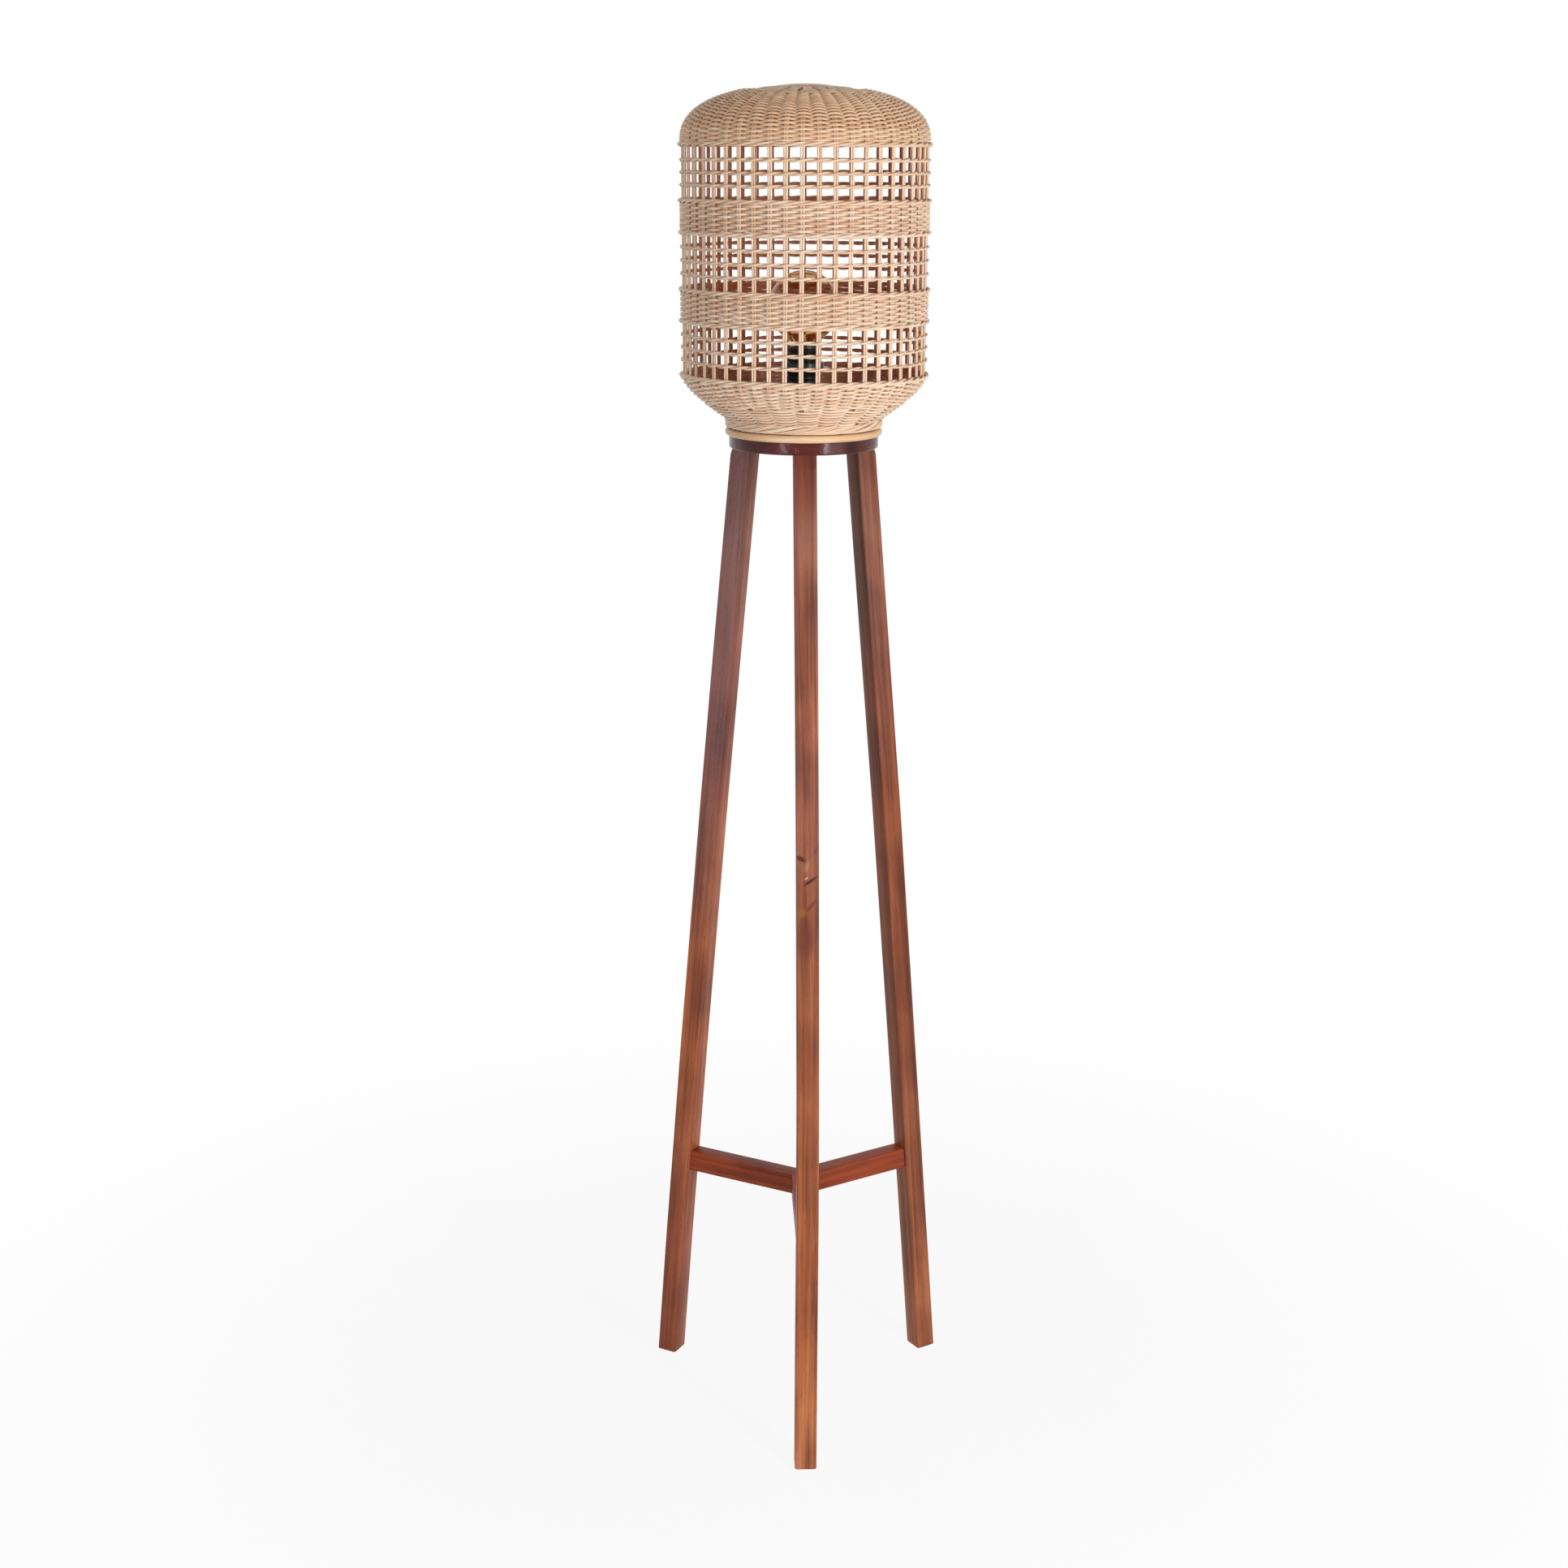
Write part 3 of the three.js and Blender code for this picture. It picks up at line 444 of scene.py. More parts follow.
def tinted_glass(name, tint, roughness):
    """Clear glass with a tint, which casts a tinted shadow."""
    material, tree, shader = new_material(name)
    place = add_node(tree, "TexCoord").outputs["Object"]
    waves = add_node(tree, "TexNoise", {"Vector": place, "Scale": 1 / GLASS_WAVE, "Detail": 1.0})
    rough = add_node(tree, "MapRange", {"Value": waves.outputs["Fac"], "To Min": roughness,
                                        "To Max": roughness + 0.02})
    feed(shader, {"Base Color": linear(tint), "Transmission Weight": 1.0, "IOR": 1.5,
                  "Roughness": rough.outputs["Result"]})
    ray = add_node(tree, "LightPath")
    clear = add_node(tree, "BsdfTransparent", {"Color": linear(tint)})
    shade = add_node(tree, "MixShader", {0: ray.outputs["Is Shadow Ray"], 1: shader.outputs["BSDF"],
                                         2: clear.outputs["BSDF"]})
    tree.links.new(shade.outputs["Shader"], tree.nodes["Material Output"].inputs["Surface"])
    return material


amber_glass = tinted_glass("amber_glass", "#e6c7a0", 0.0)
clear_glass = tinted_glass("clear_glass", "#f3ece0", 0.02)
print("glass:", amber_glass.name, "and", clear_glass.name)

# %% [markdown]
# Every piece of the lamp ends in the same few steps: its mesh becomes an object, gets its finish, rides
# on one of the moving bodies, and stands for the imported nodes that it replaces. `new_piece` takes them
# all, so no piece is left behind when the shade is lifted off or the bulb is turned out.

# %% New pieces
def unit(vectors):
    """Directions of length one."""
    return vectors / np.linalg.norm(vectors, axis=-1, keepdims=True)


def mesh_from(work, name):
    """A mesh of what a working bmesh holds."""
    mesh = bpy.data.meshes.new(name)
    work.to_mesh(mesh)
    work.free()
    return mesh


def smoothed(mesh, sharp=35):
    """A mesh that is shaded smooth, but for edges sharper than an angle in degrees."""
    mesh.shade_smooth()
    mesh.set_sharp_from_angle(angle=math.radians(sharp))
    return mesh


def new_piece(name, mesh, material, body, slot, *replaced):
    """Links a finished mesh, gives it its finish, and says which body it rides on and what it stands for."""
    piece = bpy.data.objects.new(name, mesh)
    bpy.context.scene.collection.objects.link(piece)
    mesh.materials.append(material)
    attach(piece, body)
    if replaced:
        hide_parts(*replaced)
    print(f"{name}: {len(mesh.vertices)} vertices, {len(mesh.polygons)} faces")
    return piece


print("a direction of length one:", unit(np.array([3.0, 4.0])))

# %% [markdown]
# Every strand of the shade is a round stick of rattan that follows a path. `sweep` carries a ring of
# points along each path and keeps it upright with a direction that points out of the wall, so a strand
# never spins, and a weaver that is pressed between its neighbours is a little wider than it is thick. It
# also writes the strand map and a tone per strand for the material above. One call makes a whole piece,
# such as all the weavers of a band, as one mesh.

# %% Strands
TONE_SPREAD = 0.16
LONGEST_START = 5.0


def sweep(name, strands, sides):
    """One mesh of strands: each is a path, outward directions, a radius, a closed flag and a pressed width."""
    points, faces, maps, tones = [], [], [], []
    turn = 2 * np.pi * np.arange(sides) / sides
    used = 0
    for path, outward, radius, closed, pressed in strands:
        count = len(path)
        if closed:
            tangent = unit(np.roll(path, -1, 0) - np.roll(path, 1, 0))
        else:
            tangent = unit(np.gradient(path, axis=0))
        normal = unit(outward - np.sum(outward * tangent, -1, keepdims=True) * tangent)
        side = np.cross(tangent, normal)
        ring = np.sin(turn)[:, None] * side[:, None, :] * pressed - np.cos(turn)[:, None] * normal[:, None, :]
        radii = np.broadcast_to(radius, (count,))[:, None, None]
        points.append((path[:, None, :] + radii * ring).reshape(-1, 3))
        tones.append(np.full(count * sides, random.uniform(-TONE_SPREAD, TONE_SPREAD)))
        step = np.linalg.norm(np.roll(path, -1, 0) - path, axis=-1)
        along = np.concatenate([[0], np.cumsum(step)]) + random.uniform(0, LONGEST_START)
        spans = count if closed else count - 1
        i, v = np.meshgrid(np.arange(spans), np.arange(sides), indexing="ij")
        after, beside = (i + 1) % count, (v + 1) % sides
        here, there = used + i * sides, used + after * sides
        quads = np.stack([here + v, there + v, there + beside, here + beside], -1)
        u = np.stack([along[i], along[i + 1], along[i + 1], along[i]], -1)
        w = np.stack([v, v, v + 1, v + 1], -1) / sides
        faces.extend(quads.reshape(-1, 4).tolist())
        maps.append(np.stack([u, w], -1).reshape(-1, 2))
        if not closed:
            last = used + (count - 1) * sides
            faces.append([used + k for k in range(sides)])
            faces.append([last + k for k in reversed(range(sides))])
            maps.append(np.full((sides, 2), along[0]))
            maps.append(np.full((sides, 2), along[-2]))
        used += count * sides
    mesh = bpy.data.meshes.new(name)
    mesh.from_pydata(np.concatenate(points).tolist(), [], faces)
    mesh.uv_layers.new(name="strand").data.foreach_set("uv", np.concatenate(maps).ravel())
    mesh.attributes.new("tone", "FLOAT", "POINT").data.foreach_set("value", np.concatenate(tones))
    mesh.shade_smooth()
    return mesh


print("tones spread by", TONE_SPREAD, "to either side of the middle one")

# %% [markdown]
# A basket that is woven by hand is never quite true. Round its back this one was pulled a few degrees
# askew, so its rods there don't stand behind those in front. Every course also wanders up and down a
# little, by a sum of slow waves that comes back to itself after a full turn.

# %% A basket that is not quite true
SLIP, SLIP_AT, SLIP_REACH = math.radians(3.2), math.radians(123), math.radians(75)


def woven(radius, azimuth, height):
    """A place in the basket, which was pulled a few degrees askew round its back."""
    off = np.angle(np.exp(1j * (np.asarray(azimuth) - SLIP_AT))) / SLIP_REACH
    slip = SLIP * np.cos(np.pi / 2 * np.clip(off, -1, 1)) ** 2
    return on_axis(radius, azimuth + slip, height)


def wobble(azimuth, size, waves=(2, 3, 5, 8)):
    """The slow unevenness of a hand-woven course, the same after a full turn."""
    total = np.zeros_like(azimuth)
    for wave in waves:
        total += np.sin(wave * azimuth + random.uniform(0, 2 * np.pi)) * random.uniform(0.3, 1.0) / len(waves)
    return size * total


print("the basket slips by", round(math.degrees(SLIP), 1), "degrees at most")

# %% [markdown]
# The shade's wall follows one outline: a short neck, a bowl that flares to the full radius, a straight
# wall and a dome that is rounder than a circle at the shoulder. The rods run along that outline, a
# weaver's thickness inside it. Here it is drawn once, finely, and cut into steps of equal length, each
# with the direction that points out of the wall. Everything woven looks its place up in it.

# %% The outline of the wall
ROD = 2.6 * MM
WEAVER = 2.5 * MM
SHADE_RADIUS = 140.8 * MM
WALL_DEPTH = 4.1 * MM
NECK_RADIUS = 86.2 * MM
BOWL_FOOT, BOWL_TOP = 1237.5 * MM, 1279.5 * MM
BOWL_FOOT_RADIUS = 98 * MM
NECK_TUCK = (88.6 * MM, 1230.2 * MM)
BOWL_PULL = (135.02 * MM, 1261.99 * MM)
DOME_FOOT, DOME_HEIGHT, DOME_EXPONENT = 1538 * MM, 62 * MM, 2.4
WEAVE_START_RADIUS = 56 * MM
STEP = 0.5 * MM


def drawn_in(line, depth):
    """A line moved towards the axis, square to itself, with its outward directions."""
    slope = unit(np.gradient(line, axis=0))
    outward = np.stack([slope[:, 1], -slope[:, 0]], -1)
    return line - depth * outward, outward


def even_steps(line, step):
    """The same line as points an equal distance apart."""
    length = np.concatenate([[0], np.cumsum(np.linalg.norm(np.diff(line, axis=0), axis=-1))])
    places = np.linspace(0, length[-1], max(2, int(round(length[-1] / step)) + 1))
    return np.stack([np.interp(places, length, line[:, k]) for k in (0, 1)], -1)


share = np.linspace(0, 1, 200)[:, None]
bowl_outline = ((1 - share) ** 2 * [BOWL_FOOT_RADIUS, BOWL_FOOT] + 2 * share * (1 - share) * list(BOWL_PULL)
                + share ** 2 * [SHADE_RADIUS, BOWL_TOP])
last_turn = math.acos((WEAVE_START_RADIUS / SHADE_RADIUS) ** (DOME_EXPONENT / 2))
dome_turn = np.linspace(0, 1, 400) ** 1.5 * last_turn
dome_outline = np.stack([SHADE_RADIUS * np.cos(dome_turn) ** (2 / DOME_EXPONENT),
                         DOME_FOOT + DOME_HEIGHT * np.sin(dome_turn) ** (2 / DOME_EXPONENT)], -1)
bowl_outline = np.concatenate([[NECK_TUCK], bowl_outline])
bowl_line, bowl_outward = drawn_in(even_steps(bowl_outline, STEP), WALL_DEPTH)
dome_line, dome_outward = drawn_in(even_steps(dome_outline, STEP), WALL_DEPTH)
wall_radius = SHADE_RADIUS - WALL_DEPTH
print("bowl", len(bowl_line), "steps, dome", len(dome_line), "steps")

# %% [markdown]
# The rods come in pairs, and the pairs in twos: at the neck and round the hub four rods lie together, as
# 24 groups, and a little way up the bowl and down the dome they part into 48 pairs. The crown sits a
# little to the back, so at the front the pairs part further down the dome. `rod_outline` gives the line
# of the rods in one direction, and how far the groups have parted at each point of it.

# %% The line of the rods
GROUPS, PAIRS, BUNDLES = 24, 48, 4
QUARTER_GROUP = math.radians(3.75)
PART_LOW, PART_HIGH = (113 * MM, 124 * MM), (78 * MM, 88 * MM)
PART_ASKEW = 8 * MM
NECK_HEIGHTS = (1223.8 * MM, 1228 * MM, 1232 * MM)
BENT_STEP, STRAIGHT_STEP = 3 * MM, 6 * MM
BOWL_LEFT_OUT, DOME_LEFT_OUT = 5, 4


def smooth(value, low, high):
    """A soft step from 0 at one value to 1 at another."""
    place = np.clip((value - low) / (high - low), 0, 1)
    return place * place * (3 - 2 * place)


def rod_outline(azimuth):
    """The rods' line from the neck to the edge of the hub, and how far its groups have parted."""
    shift = -PART_ASKEW * math.sin(azimuth)
    neck = np.array([[NECK_RADIUS, height] for height in NECK_HEIGHTS])
    wall = np.array([[wall_radius, BOWL_TOP + BENT_STEP], [wall_radius, DOME_FOOT - BENT_STEP]])
    lower = even_steps(np.concatenate([neck, bowl_line[BOWL_LEFT_OUT:]]), BENT_STEP)
    middle = even_steps(wall, STRAIGHT_STEP)
    upper = even_steps(dome_line[DOME_LEFT_OUT:-1], BENT_STEP)
    parted = np.concatenate([smooth(lower[:, 0], *PART_LOW), np.ones(len(middle)),
                             smooth(upper[:, 0], PART_HIGH[0] + shift, PART_HIGH[1] + shift)])
    return np.concatenate([lower, middle, upper]), parted


print("points along one side of a rod:", len(rod_outline(0.0)[0]))

# %% [markdown]
# Each rod climbs the wall beside its twin. It is a plant stem and not a machined bar, so it drifts a few
# tenths of a millimetre to the side in slow waves, leaves its twin by a hair and leans in and out a
# little. Each wave is a pair of numbers: how far, and over what length.

# %% One side of a rod
SIDE_DRIFT, LONG_DRIFT = (0.3 * MM, 37 * MM), (0.4 * MM, 90 * MM)
TWIN_GAP, WALL_DRIFT = (0.04 * MM, 23 * MM), (0.12 * MM, 51 * MM)


def wave(place, drift, phase):
    """A slow wave along a line, from its size and its run."""
    size, run = drift
    return size * np.sin(place / run + phase)


def half_rod(bundle, side, group, pair, rod, sway):
    """One side of a rod, from the neck to the hub's edge, as points."""
    arm = (bundle * 45 + side * 180) * math.pi / 180
    lean = (group * 15) * math.pi / 180
    line, parted = rod_outline(arm + lean)
    radius, height = line[:, 0], line[:, 1]
    spread = parted * radius * math.sin(QUARTER_GROUP) + (1 - parted) * ROD
    drift = (wave(height, SIDE_DRIFT, sway) + wave(height, LONG_DRIFT, 5 * sway)) * parted
    apart = (TWIN_GAP[0] + wave(height, TWIN_GAP, sway)) * parted
    offset = pair * spread + rod * (ROD / 2 + apart) + drift
    azimuth = arm + lean + offset / radius
    return woven(radius + wave(height, WALL_DRIFT, sway), azimuth, height)


print("a rod is", ROD / MM, "mm thick")

# %% [markdown]
# At the top the rods of a bundle run on across the hub, side by side, and come down the far side, so a
# rod is one strand more than twice as long as the shade is tall. Four bundles of twelve cross there, one
# on another, and all of them sink to the same height at the hub's edge, where the dome begins. The bends
# between are cubic curves that keep the direction of both stretches.

# %% Rods across the hub
HUB_REACH = 44 * MM
HUB_POINTS = 13
HUB_EDGE = 1594.8 * MM
HUB_FLAT, HUB_FALL = 8 * MM, HUB_REACH + 6 * MM
HUB_WAVE = (0.1 * MM, 9 * MM)
LAYER = 2.65 * MM
TOP_OF_RODS = 1599.6 * MM - ROD / 2
SHADE_MIDDLE = 1400 * MM
BEND_POINTS = 4


def bend(start, start_before, end, end_after):
    """The points of a soft bend from one stretch to the next."""
    steps = np.linspace(0, 1, BEND_POINTS + 2)[1:-1, None]
    reach = np.linalg.norm(end - start)
    out, back = unit(start - start_before) * reach, unit(end_after - end) * reach
    return ((2 * steps ** 3 - 3 * steps ** 2 + 1) * start + (steps ** 3 - 2 * steps ** 2 + steps) * out
            + (3 * steps ** 2 - 2 * steps ** 3) * end + (steps ** 3 - steps ** 2) * back)


def rounded_over(near, hub, far):
    """Joins the two sides of a rod to its stretch across the hub."""
    first = bend(near[-1], near[-2], hub[0], hub[1])
    second = bend(hub[-1], hub[-2], far[0], far[1])
    path = np.concatenate([near, first, hub, second, far])
    outward = unit(path - (AXIS + np.array([0, 0, SHADE_MIDDLE])))
    return path, outward, ROD / 2, False, 1.0


def hub_stretch(bundle, group, pair, rod):
    """A rod's stretch across the hub, in its lane of its bundle."""
    arm = math.radians(bundle * 45)
    forward = np.array([math.cos(arm), math.sin(arm), 0])
    across = np.array([-math.sin(arm), math.cos(arm), 0])
    layer_height = TOP_OF_RODS - bundle * LAYER
    lane = (group * 4 + pair + rod / 2) * ROD
    reach = np.linspace(HUB_REACH, -HUB_REACH, HUB_POINTS)[:, None]
    hub = AXIS + reach * forward + lane * across + [0, 0, layer_height]
    crown = smooth(np.hypot(reach[:, 0], lane), HUB_FLAT, HUB_FALL)
    hub[:, 2] += (HUB_EDGE - layer_height) * crown + wave(reach[:, 0], HUB_WAVE, lane / MM)
    return hub


strands = []
for bundle in range(BUNDLES):
    for group in (-1, 0, 1):
        for pair in (-1, 1):
            near_sway, far_sway = random.uniform(0, 6.3, 2)
            for rod in (-1, 1):
                near = half_rod(bundle, 0, group, pair, rod, near_sway)
                far = half_rod(bundle, 1, -group, -pair, -rod, far_sway)
                strands.append(rounded_over(near, hub_stretch(bundle, group, pair, rod), far[::-1]))
new_piece("rattan_rods", sweep("rods", strands, 8), peeled_core, "shade", "rattan",
          *[f"stake_bundle_{i}" for i in (1, 2, 3, 4)])

# %% [markdown]
# In plain weave a weaver passes outside one pair and inside the next, and the course above it does the
# opposite. Its path is a wave that flattens where it lies on a pair, and more so over a group of four,
# as at the foot of the bowl and round the hub. Each course is its own closed strand here, which looks
# the same as the long spiral of the real one and needs no joints. A weaver tilts as it passes from one
# side to the other, bulges a little over the rods, and is pressed flat against the courses beside it.

# %% One course of plain weave
RISE = (ROD + WEAVER) / 2 + 0.2 * MM
PRESSED = 1.3
PLUMP, PLUMP_POWER = 0.07, 1.5
TILT = 0.22 * MM
COURSE_WANDER = 0.12 * MM
POINTS_A_STEP = 6
FLAT_OVER_GROUP, FLAT_OVER_PAIR = 1.8, 0.3
DRAWN_OVER_GROUP, DRAWN_OVER_PAIR = 0.6, 0.4


def course(wall, place, over, parted, thin, askew):
    """One course at a place along the wall, over pairs where they have parted and over groups elsewhere."""
    line, outward, length = wall
    count, first = (PAIRS, QUARTER_GROUP) if parted else (GROUPS, 0.0)
    flat, drawn = (FLAT_OVER_PAIR, DRAWN_OVER_PAIR) if parted else (FLAT_OVER_GROUP, DRAWN_OVER_GROUP)
    azimuth = np.linspace(0, 2 * np.pi, POINTS_A_STEP * count, endpoint=False)
    places = place * (1 - askew * (1 - np.sin(azimuth)) / 2)
    radius, height, radial, level = (np.interp(places, length, side) for side in (*line.T, *outward.T))
    turn = count / 2 * (azimuth - first) + (0 if over else np.pi)
    lift = RISE * thin * np.tanh(flat * np.cos(turn)) / math.tanh(flat)
    sag = wobble(azimuth, COURSE_WANDER) + TILT * np.sin(turn)
    plump = thin * WEAVER / 2 * (1 + PLUMP * np.abs(np.cos(turn)) ** PLUMP_POWER)
    path = woven(radius + lift * radial, azimuth, height + lift * np.where(level > 0, 1.0, drawn) * level + sag)
    away = woven(radial, azimuth, level) - AXIS
    return path, away, plump, True, PRESSED


print("a weaver rises", round(RISE / MM, 2), "mm over a rod")

# %% [markdown]
# The courses follow one another at the weaver's pitch, and each lies over what the one below it lies
# under. The dome was woven with a thinner weaver, and as its crown sits to the back, its courses crowd
# at the front. The two bands are straight stretches of the same weave.

# %% Bowl, dome and bands
WEAVE_PITCH = 2.75 * MM
BOWL_PARTS, DOME_PARTS = 113 * MM, 84 * MM
BOWL_START, DOME_START = 1.0 * MM, -0.5 * MM
DOME_THIN, DOME_ASKEW = 0.9, 0.2
BAND_BELOW, BAND_ABOVE = 3.6 * MM, 0.6 * MM


def courses(line, outward, start, parts, thin=1.0, askew=0.0):
    """Courses from a start to the end of the outline, over pairs where its radius is past the parting."""
    length = np.concatenate([[0], np.cumsum(np.linalg.norm(np.diff(line, axis=0), axis=-1))])
    count = int(round((length[-1] - start) * (1 - askew / 2) / (WEAVE_PITCH * thin)))
    strands = []
    for i in range(count):
        place = start + (i + 0.5) * (length[-1] - start) / count
        parted = np.interp(place * (1 - askew / 2), length, line[:, 0]) > parts
        strands.append(course((line, outward, length), place, i % 2 == 0, parted, thin, askew))
    return strands


bowl = courses(bowl_line, bowl_outward, BOWL_START, BOWL_PARTS)
new_piece("bowl_weavers", sweep("bowl_weavers", bowl, 6), peeled_core, "shade", "rattan", "bowl_weave")
dome = courses(dome_line, dome_outward, DOME_START, DOME_PARTS, DOME_THIN, DOME_ASKEW)
# The dome's weavers take the darker copy, which paints shade on the top.
new_piece("dome_weavers", sweep("dome_weavers", dome, 6), dome_shaded_core, "shade", "rattan", "dome_weave")
for band in ("lower_band", "upper_band"):
    low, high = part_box(band)
    wall = np.array([[wall_radius, low.z - BAND_BELOW], [wall_radius, high.z + BAND_ABOVE]])
    weavers = courses(wall, np.array([[1.0, 0.0], [1.0, 0.0]]), 0.0, 0.0)
    new_piece(f"{band}_weavers", sweep(f"{band}_weavers", weavers, 6), peeled_core, "shade", "rattan", band)

# %% [markdown]
# Each band, the bowl and the dome are bound by a wale: three weavers that pass in turn outside two pairs
# and inside one, so they twist into a rope whose strands climb to the right. The open lattices are held
# by pairing, where two weavers twist once round every pair. Both are the same figure, a helix flattened
# against the rods, with three strands or with two.

# %% Wales and pairing
WALE_LEAN, WALE_STRAND, WALE_CLIMB, WALE_WANDER = (0.85 * MM, 3.4 * MM), 2.75 * MM, 1.6 * MM, 0.2 * MM
FOOT_DROP, FOOT_CLIMB = 1.6 * MM, 1.3 * MM
PAIRING_LEAN, PAIRING_STRAND, PAIRING_CLIMB, PAIRING_WANDER = (0.0, 2.6 * MM), 2.4 * MM, 1.1 * MM, 0.7 * MM


def twist(height, strands_in_turn, lean, climb, size, uneven):
    """Strands that twist round the rods: as many as the pairs that one turn of the twist spans."""
    azimuth = np.linspace(0, 2 * np.pi, 8 * PAIRS, endpoint=False)
    sag = wobble(azimuth, uneven)
    turn = (PAIRS / strands_in_turn * (azimuth - QUARTER_GROUP)
            + math.pi / strands_in_turn * (strands_in_turn - 2))
    middle, swing = lean
    away = woven(1.0, azimuth, 0.0) - AXIS
    strands = []
    for k in range(strands_in_turn):
        phase = turn + 2 * np.pi * k / strands_in_turn
        path = woven(wall_radius + (middle + swing * np.cos(phase)), azimuth,
                     height + sag + climb * np.sin(phase))
        strands.append((path, away, size / 2, True, 1.0))
    return strands


for rope in ("bowl_rope", "lower_band_rope_bottom", "lower_band_rope_top", "upper_band_rope_bottom",
             "upper_band_rope_top", "dome_rope"):
    low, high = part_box(rope)
    middle, climb = (low.z + high.z) / 2, WALE_CLIMB
    if rope.endswith("bottom"):
        middle, climb = middle - FOOT_DROP, FOOT_CLIMB
    strands = twist(middle, 3, WALE_LEAN, climb, WALE_STRAND, WALE_WANDER)
    new_piece(f"{rope}_strands", sweep(rope, strands, 8), peeled_core, "shade", "rattan", rope)

for ring in (f"{zone}_ring_{i}" for zone in ("lower", "middle", "upper") for i in (1, 2, 3)):
    low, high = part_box(ring)
    strands = twist((low.z + high.z) / 2, 2, PAIRING_LEAN, PAIRING_CLIMB, PAIRING_STRAND, PAIRING_WANDER)
    new_piece(f"{ring}_strands", sweep(ring, strands, 8), peeled_core, "shade", "rattan", ring)

# %% [markdown]
# At the neck the rods are bent over and laid along the outside, two from every group. Each pair comes out
# from behind at the foot, climbs to the right over two groups, and is tucked in again under the first
# course of the bowl. The pairs overlap like tiles and close the wall between the bowl and the hoop.

# %% Laid border
low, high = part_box("base_border")
LAID_ROD = 2.4 * MM
LAID_OUT, LAID_IN = 2.6 * MM, -2.7 * MM
LAID_FOOT, LAID_TOP = low.z + 0.9 * MM, high.z + 0.2 * MM
LAID_SPAN, LAID_POINTS = 3, 30
COMES_OUT, TUCKS_IN = (0.1, 0.75), (2.2, 2.85)
SECOND_BEHIND, BULGE = 0.42, 0.5 * MM
border = []
for group in range(GROUPS):
    for second in (0, 1):
        along = (np.linspace(-0.1, LAID_SPAN + 0.1, LAID_POINTS) + SECOND_BEHIND * second
                 + random.uniform(-0.05, 0.05))
        reach = np.linspace(0, LAID_SPAN, LAID_POINTS)
        out = smooth(reach, *COMES_OUT) * (1 - smooth(reach, *TUCKS_IN))
        bulge = BULGE * np.sin(np.pi * np.clip((reach - 0.4) / 2.2, 0, 1)) * (1 - second)
        azimuth = (group + along) * 2 * np.pi / GROUPS
        height = (LAID_FOOT + (LAID_TOP - LAID_FOOT) * smooth(reach, 0.0, LAID_SPAN)
                  + random.uniform(-0.2, 0.2) * MM)
        path = woven(NECK_RADIUS + LAID_IN + (LAID_OUT - LAID_IN) * out + bulge, azimuth, height)
        border.append((path, woven(1.0, azimuth, 0.0) - AXIS, LAID_ROD / 2, False, 1.0))
new_piece("border_strands", sweep("border", border, 8), peeled_core, "shade", "rattan", "base_border")
print("border between", round(low.z / MM, 2), "and", round(high.z / MM, 2), "mm")

# %% [markdown]
# The shade stands on a hoop, a thin rattan pole bent round and scarfed. It is smooth and straight in the
# grain, with a faint swelling where each leaf once grew.

# %% Base hoop
low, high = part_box("base_hoop")
HOOP_RADIUS, HOOP_TUBE = 85.8 * MM, (high.z - low.z) / 2
LEAVES, LEAF_REACH, LEAF_RISE = (0.7, 2.9, 4.95), 0.03, 0.03
azimuth = np.linspace(0, 2 * np.pi, 144, endpoint=False)
swelling = sum(np.exp(-((np.angle(np.exp(1j * (azimuth - leaf)))) / LEAF_REACH) ** 2) for leaf in LEAVES)
hoop_path = on_axis(HOOP_RADIUS, azimuth, low.z + HOOP_TUBE)
hoop = [(hoop_path, on_axis(1.0, azimuth, 0.0) - AXIS, HOOP_TUBE * (1 + LEAF_RISE * swelling), True, 1.0)]
new_piece("hoop_pole", sweep("hoop", hoop, 18), rattan_pole, "shade", "rattan_pole", "base_hoop")

# %% [markdown]
# The legs lean in as they rise. A level cut through one is a square with softened edges, so a leg is that
# square carried up from the floor to the disc. The feet have a small chamfer where they were sanded, the
# sticks are not dead straight but bow by two or three millimetres, and the head of each was sanded flush
# with the rim of the disc. The same helper makes the arms of the stretcher, which run level and meet in a
# mitre on the lamp's axis.

# %% Sticks of wood
LEG = 26 * MM
EDGE = 2.2 * MM
DISC_RADIUS, DISC_FOOT = 87 * MM, 1201 * MM
DISC_RIM = 85.6 * MM
FOOT_RADIUS = 193.4 * MM
LEG_PROUD = 1.5 * MM
STRETCHER_MID = 280 * MM
STRETCHER_HEIGHT, STRETCHER_WIDTH = 26 * MM, 21 * MM
PLAY = 0.3 * MM

PLACES = {"front": -math.pi / 2, "left": 5 * math.pi / 6, "right": math.pi / 6}

lean = 0.0
for _ in range(4):
    leg_depth = LEG * math.hypot(1, lean)
    lean = (FOOT_RADIUS - (DISC_RADIUS + LEG_PROUD - leg_depth / 2)) / DISC_FOOT
print("lean", round(math.degrees(math.atan(lean)), 2), "degrees, level depth", round(leg_depth / MM, 2), "mm")


def soft_square(depth, width, edge, steps=4):
    """A rectangle with rounded corners, as points round it, with one point in the middle of each side."""
    points = []
    for quarter, (x, y) in enumerate(((1, 1), (-1, 1), (-1, -1), (1, -1))):
        for turn in np.linspace(0, math.pi / 2, steps + 1) + quarter * math.pi / 2:
            points.append((x * (depth / 2 - edge) + edge * math.cos(turn),
                           y * (width / 2 - edge) + edge * math.sin(turn)))
        nx, ny = ((0, 1), (-1, 0), (0, -1), (1, 0))[quarter]
        points.append((nx * depth / 2, ny * width / 2))
    return np.array(points)


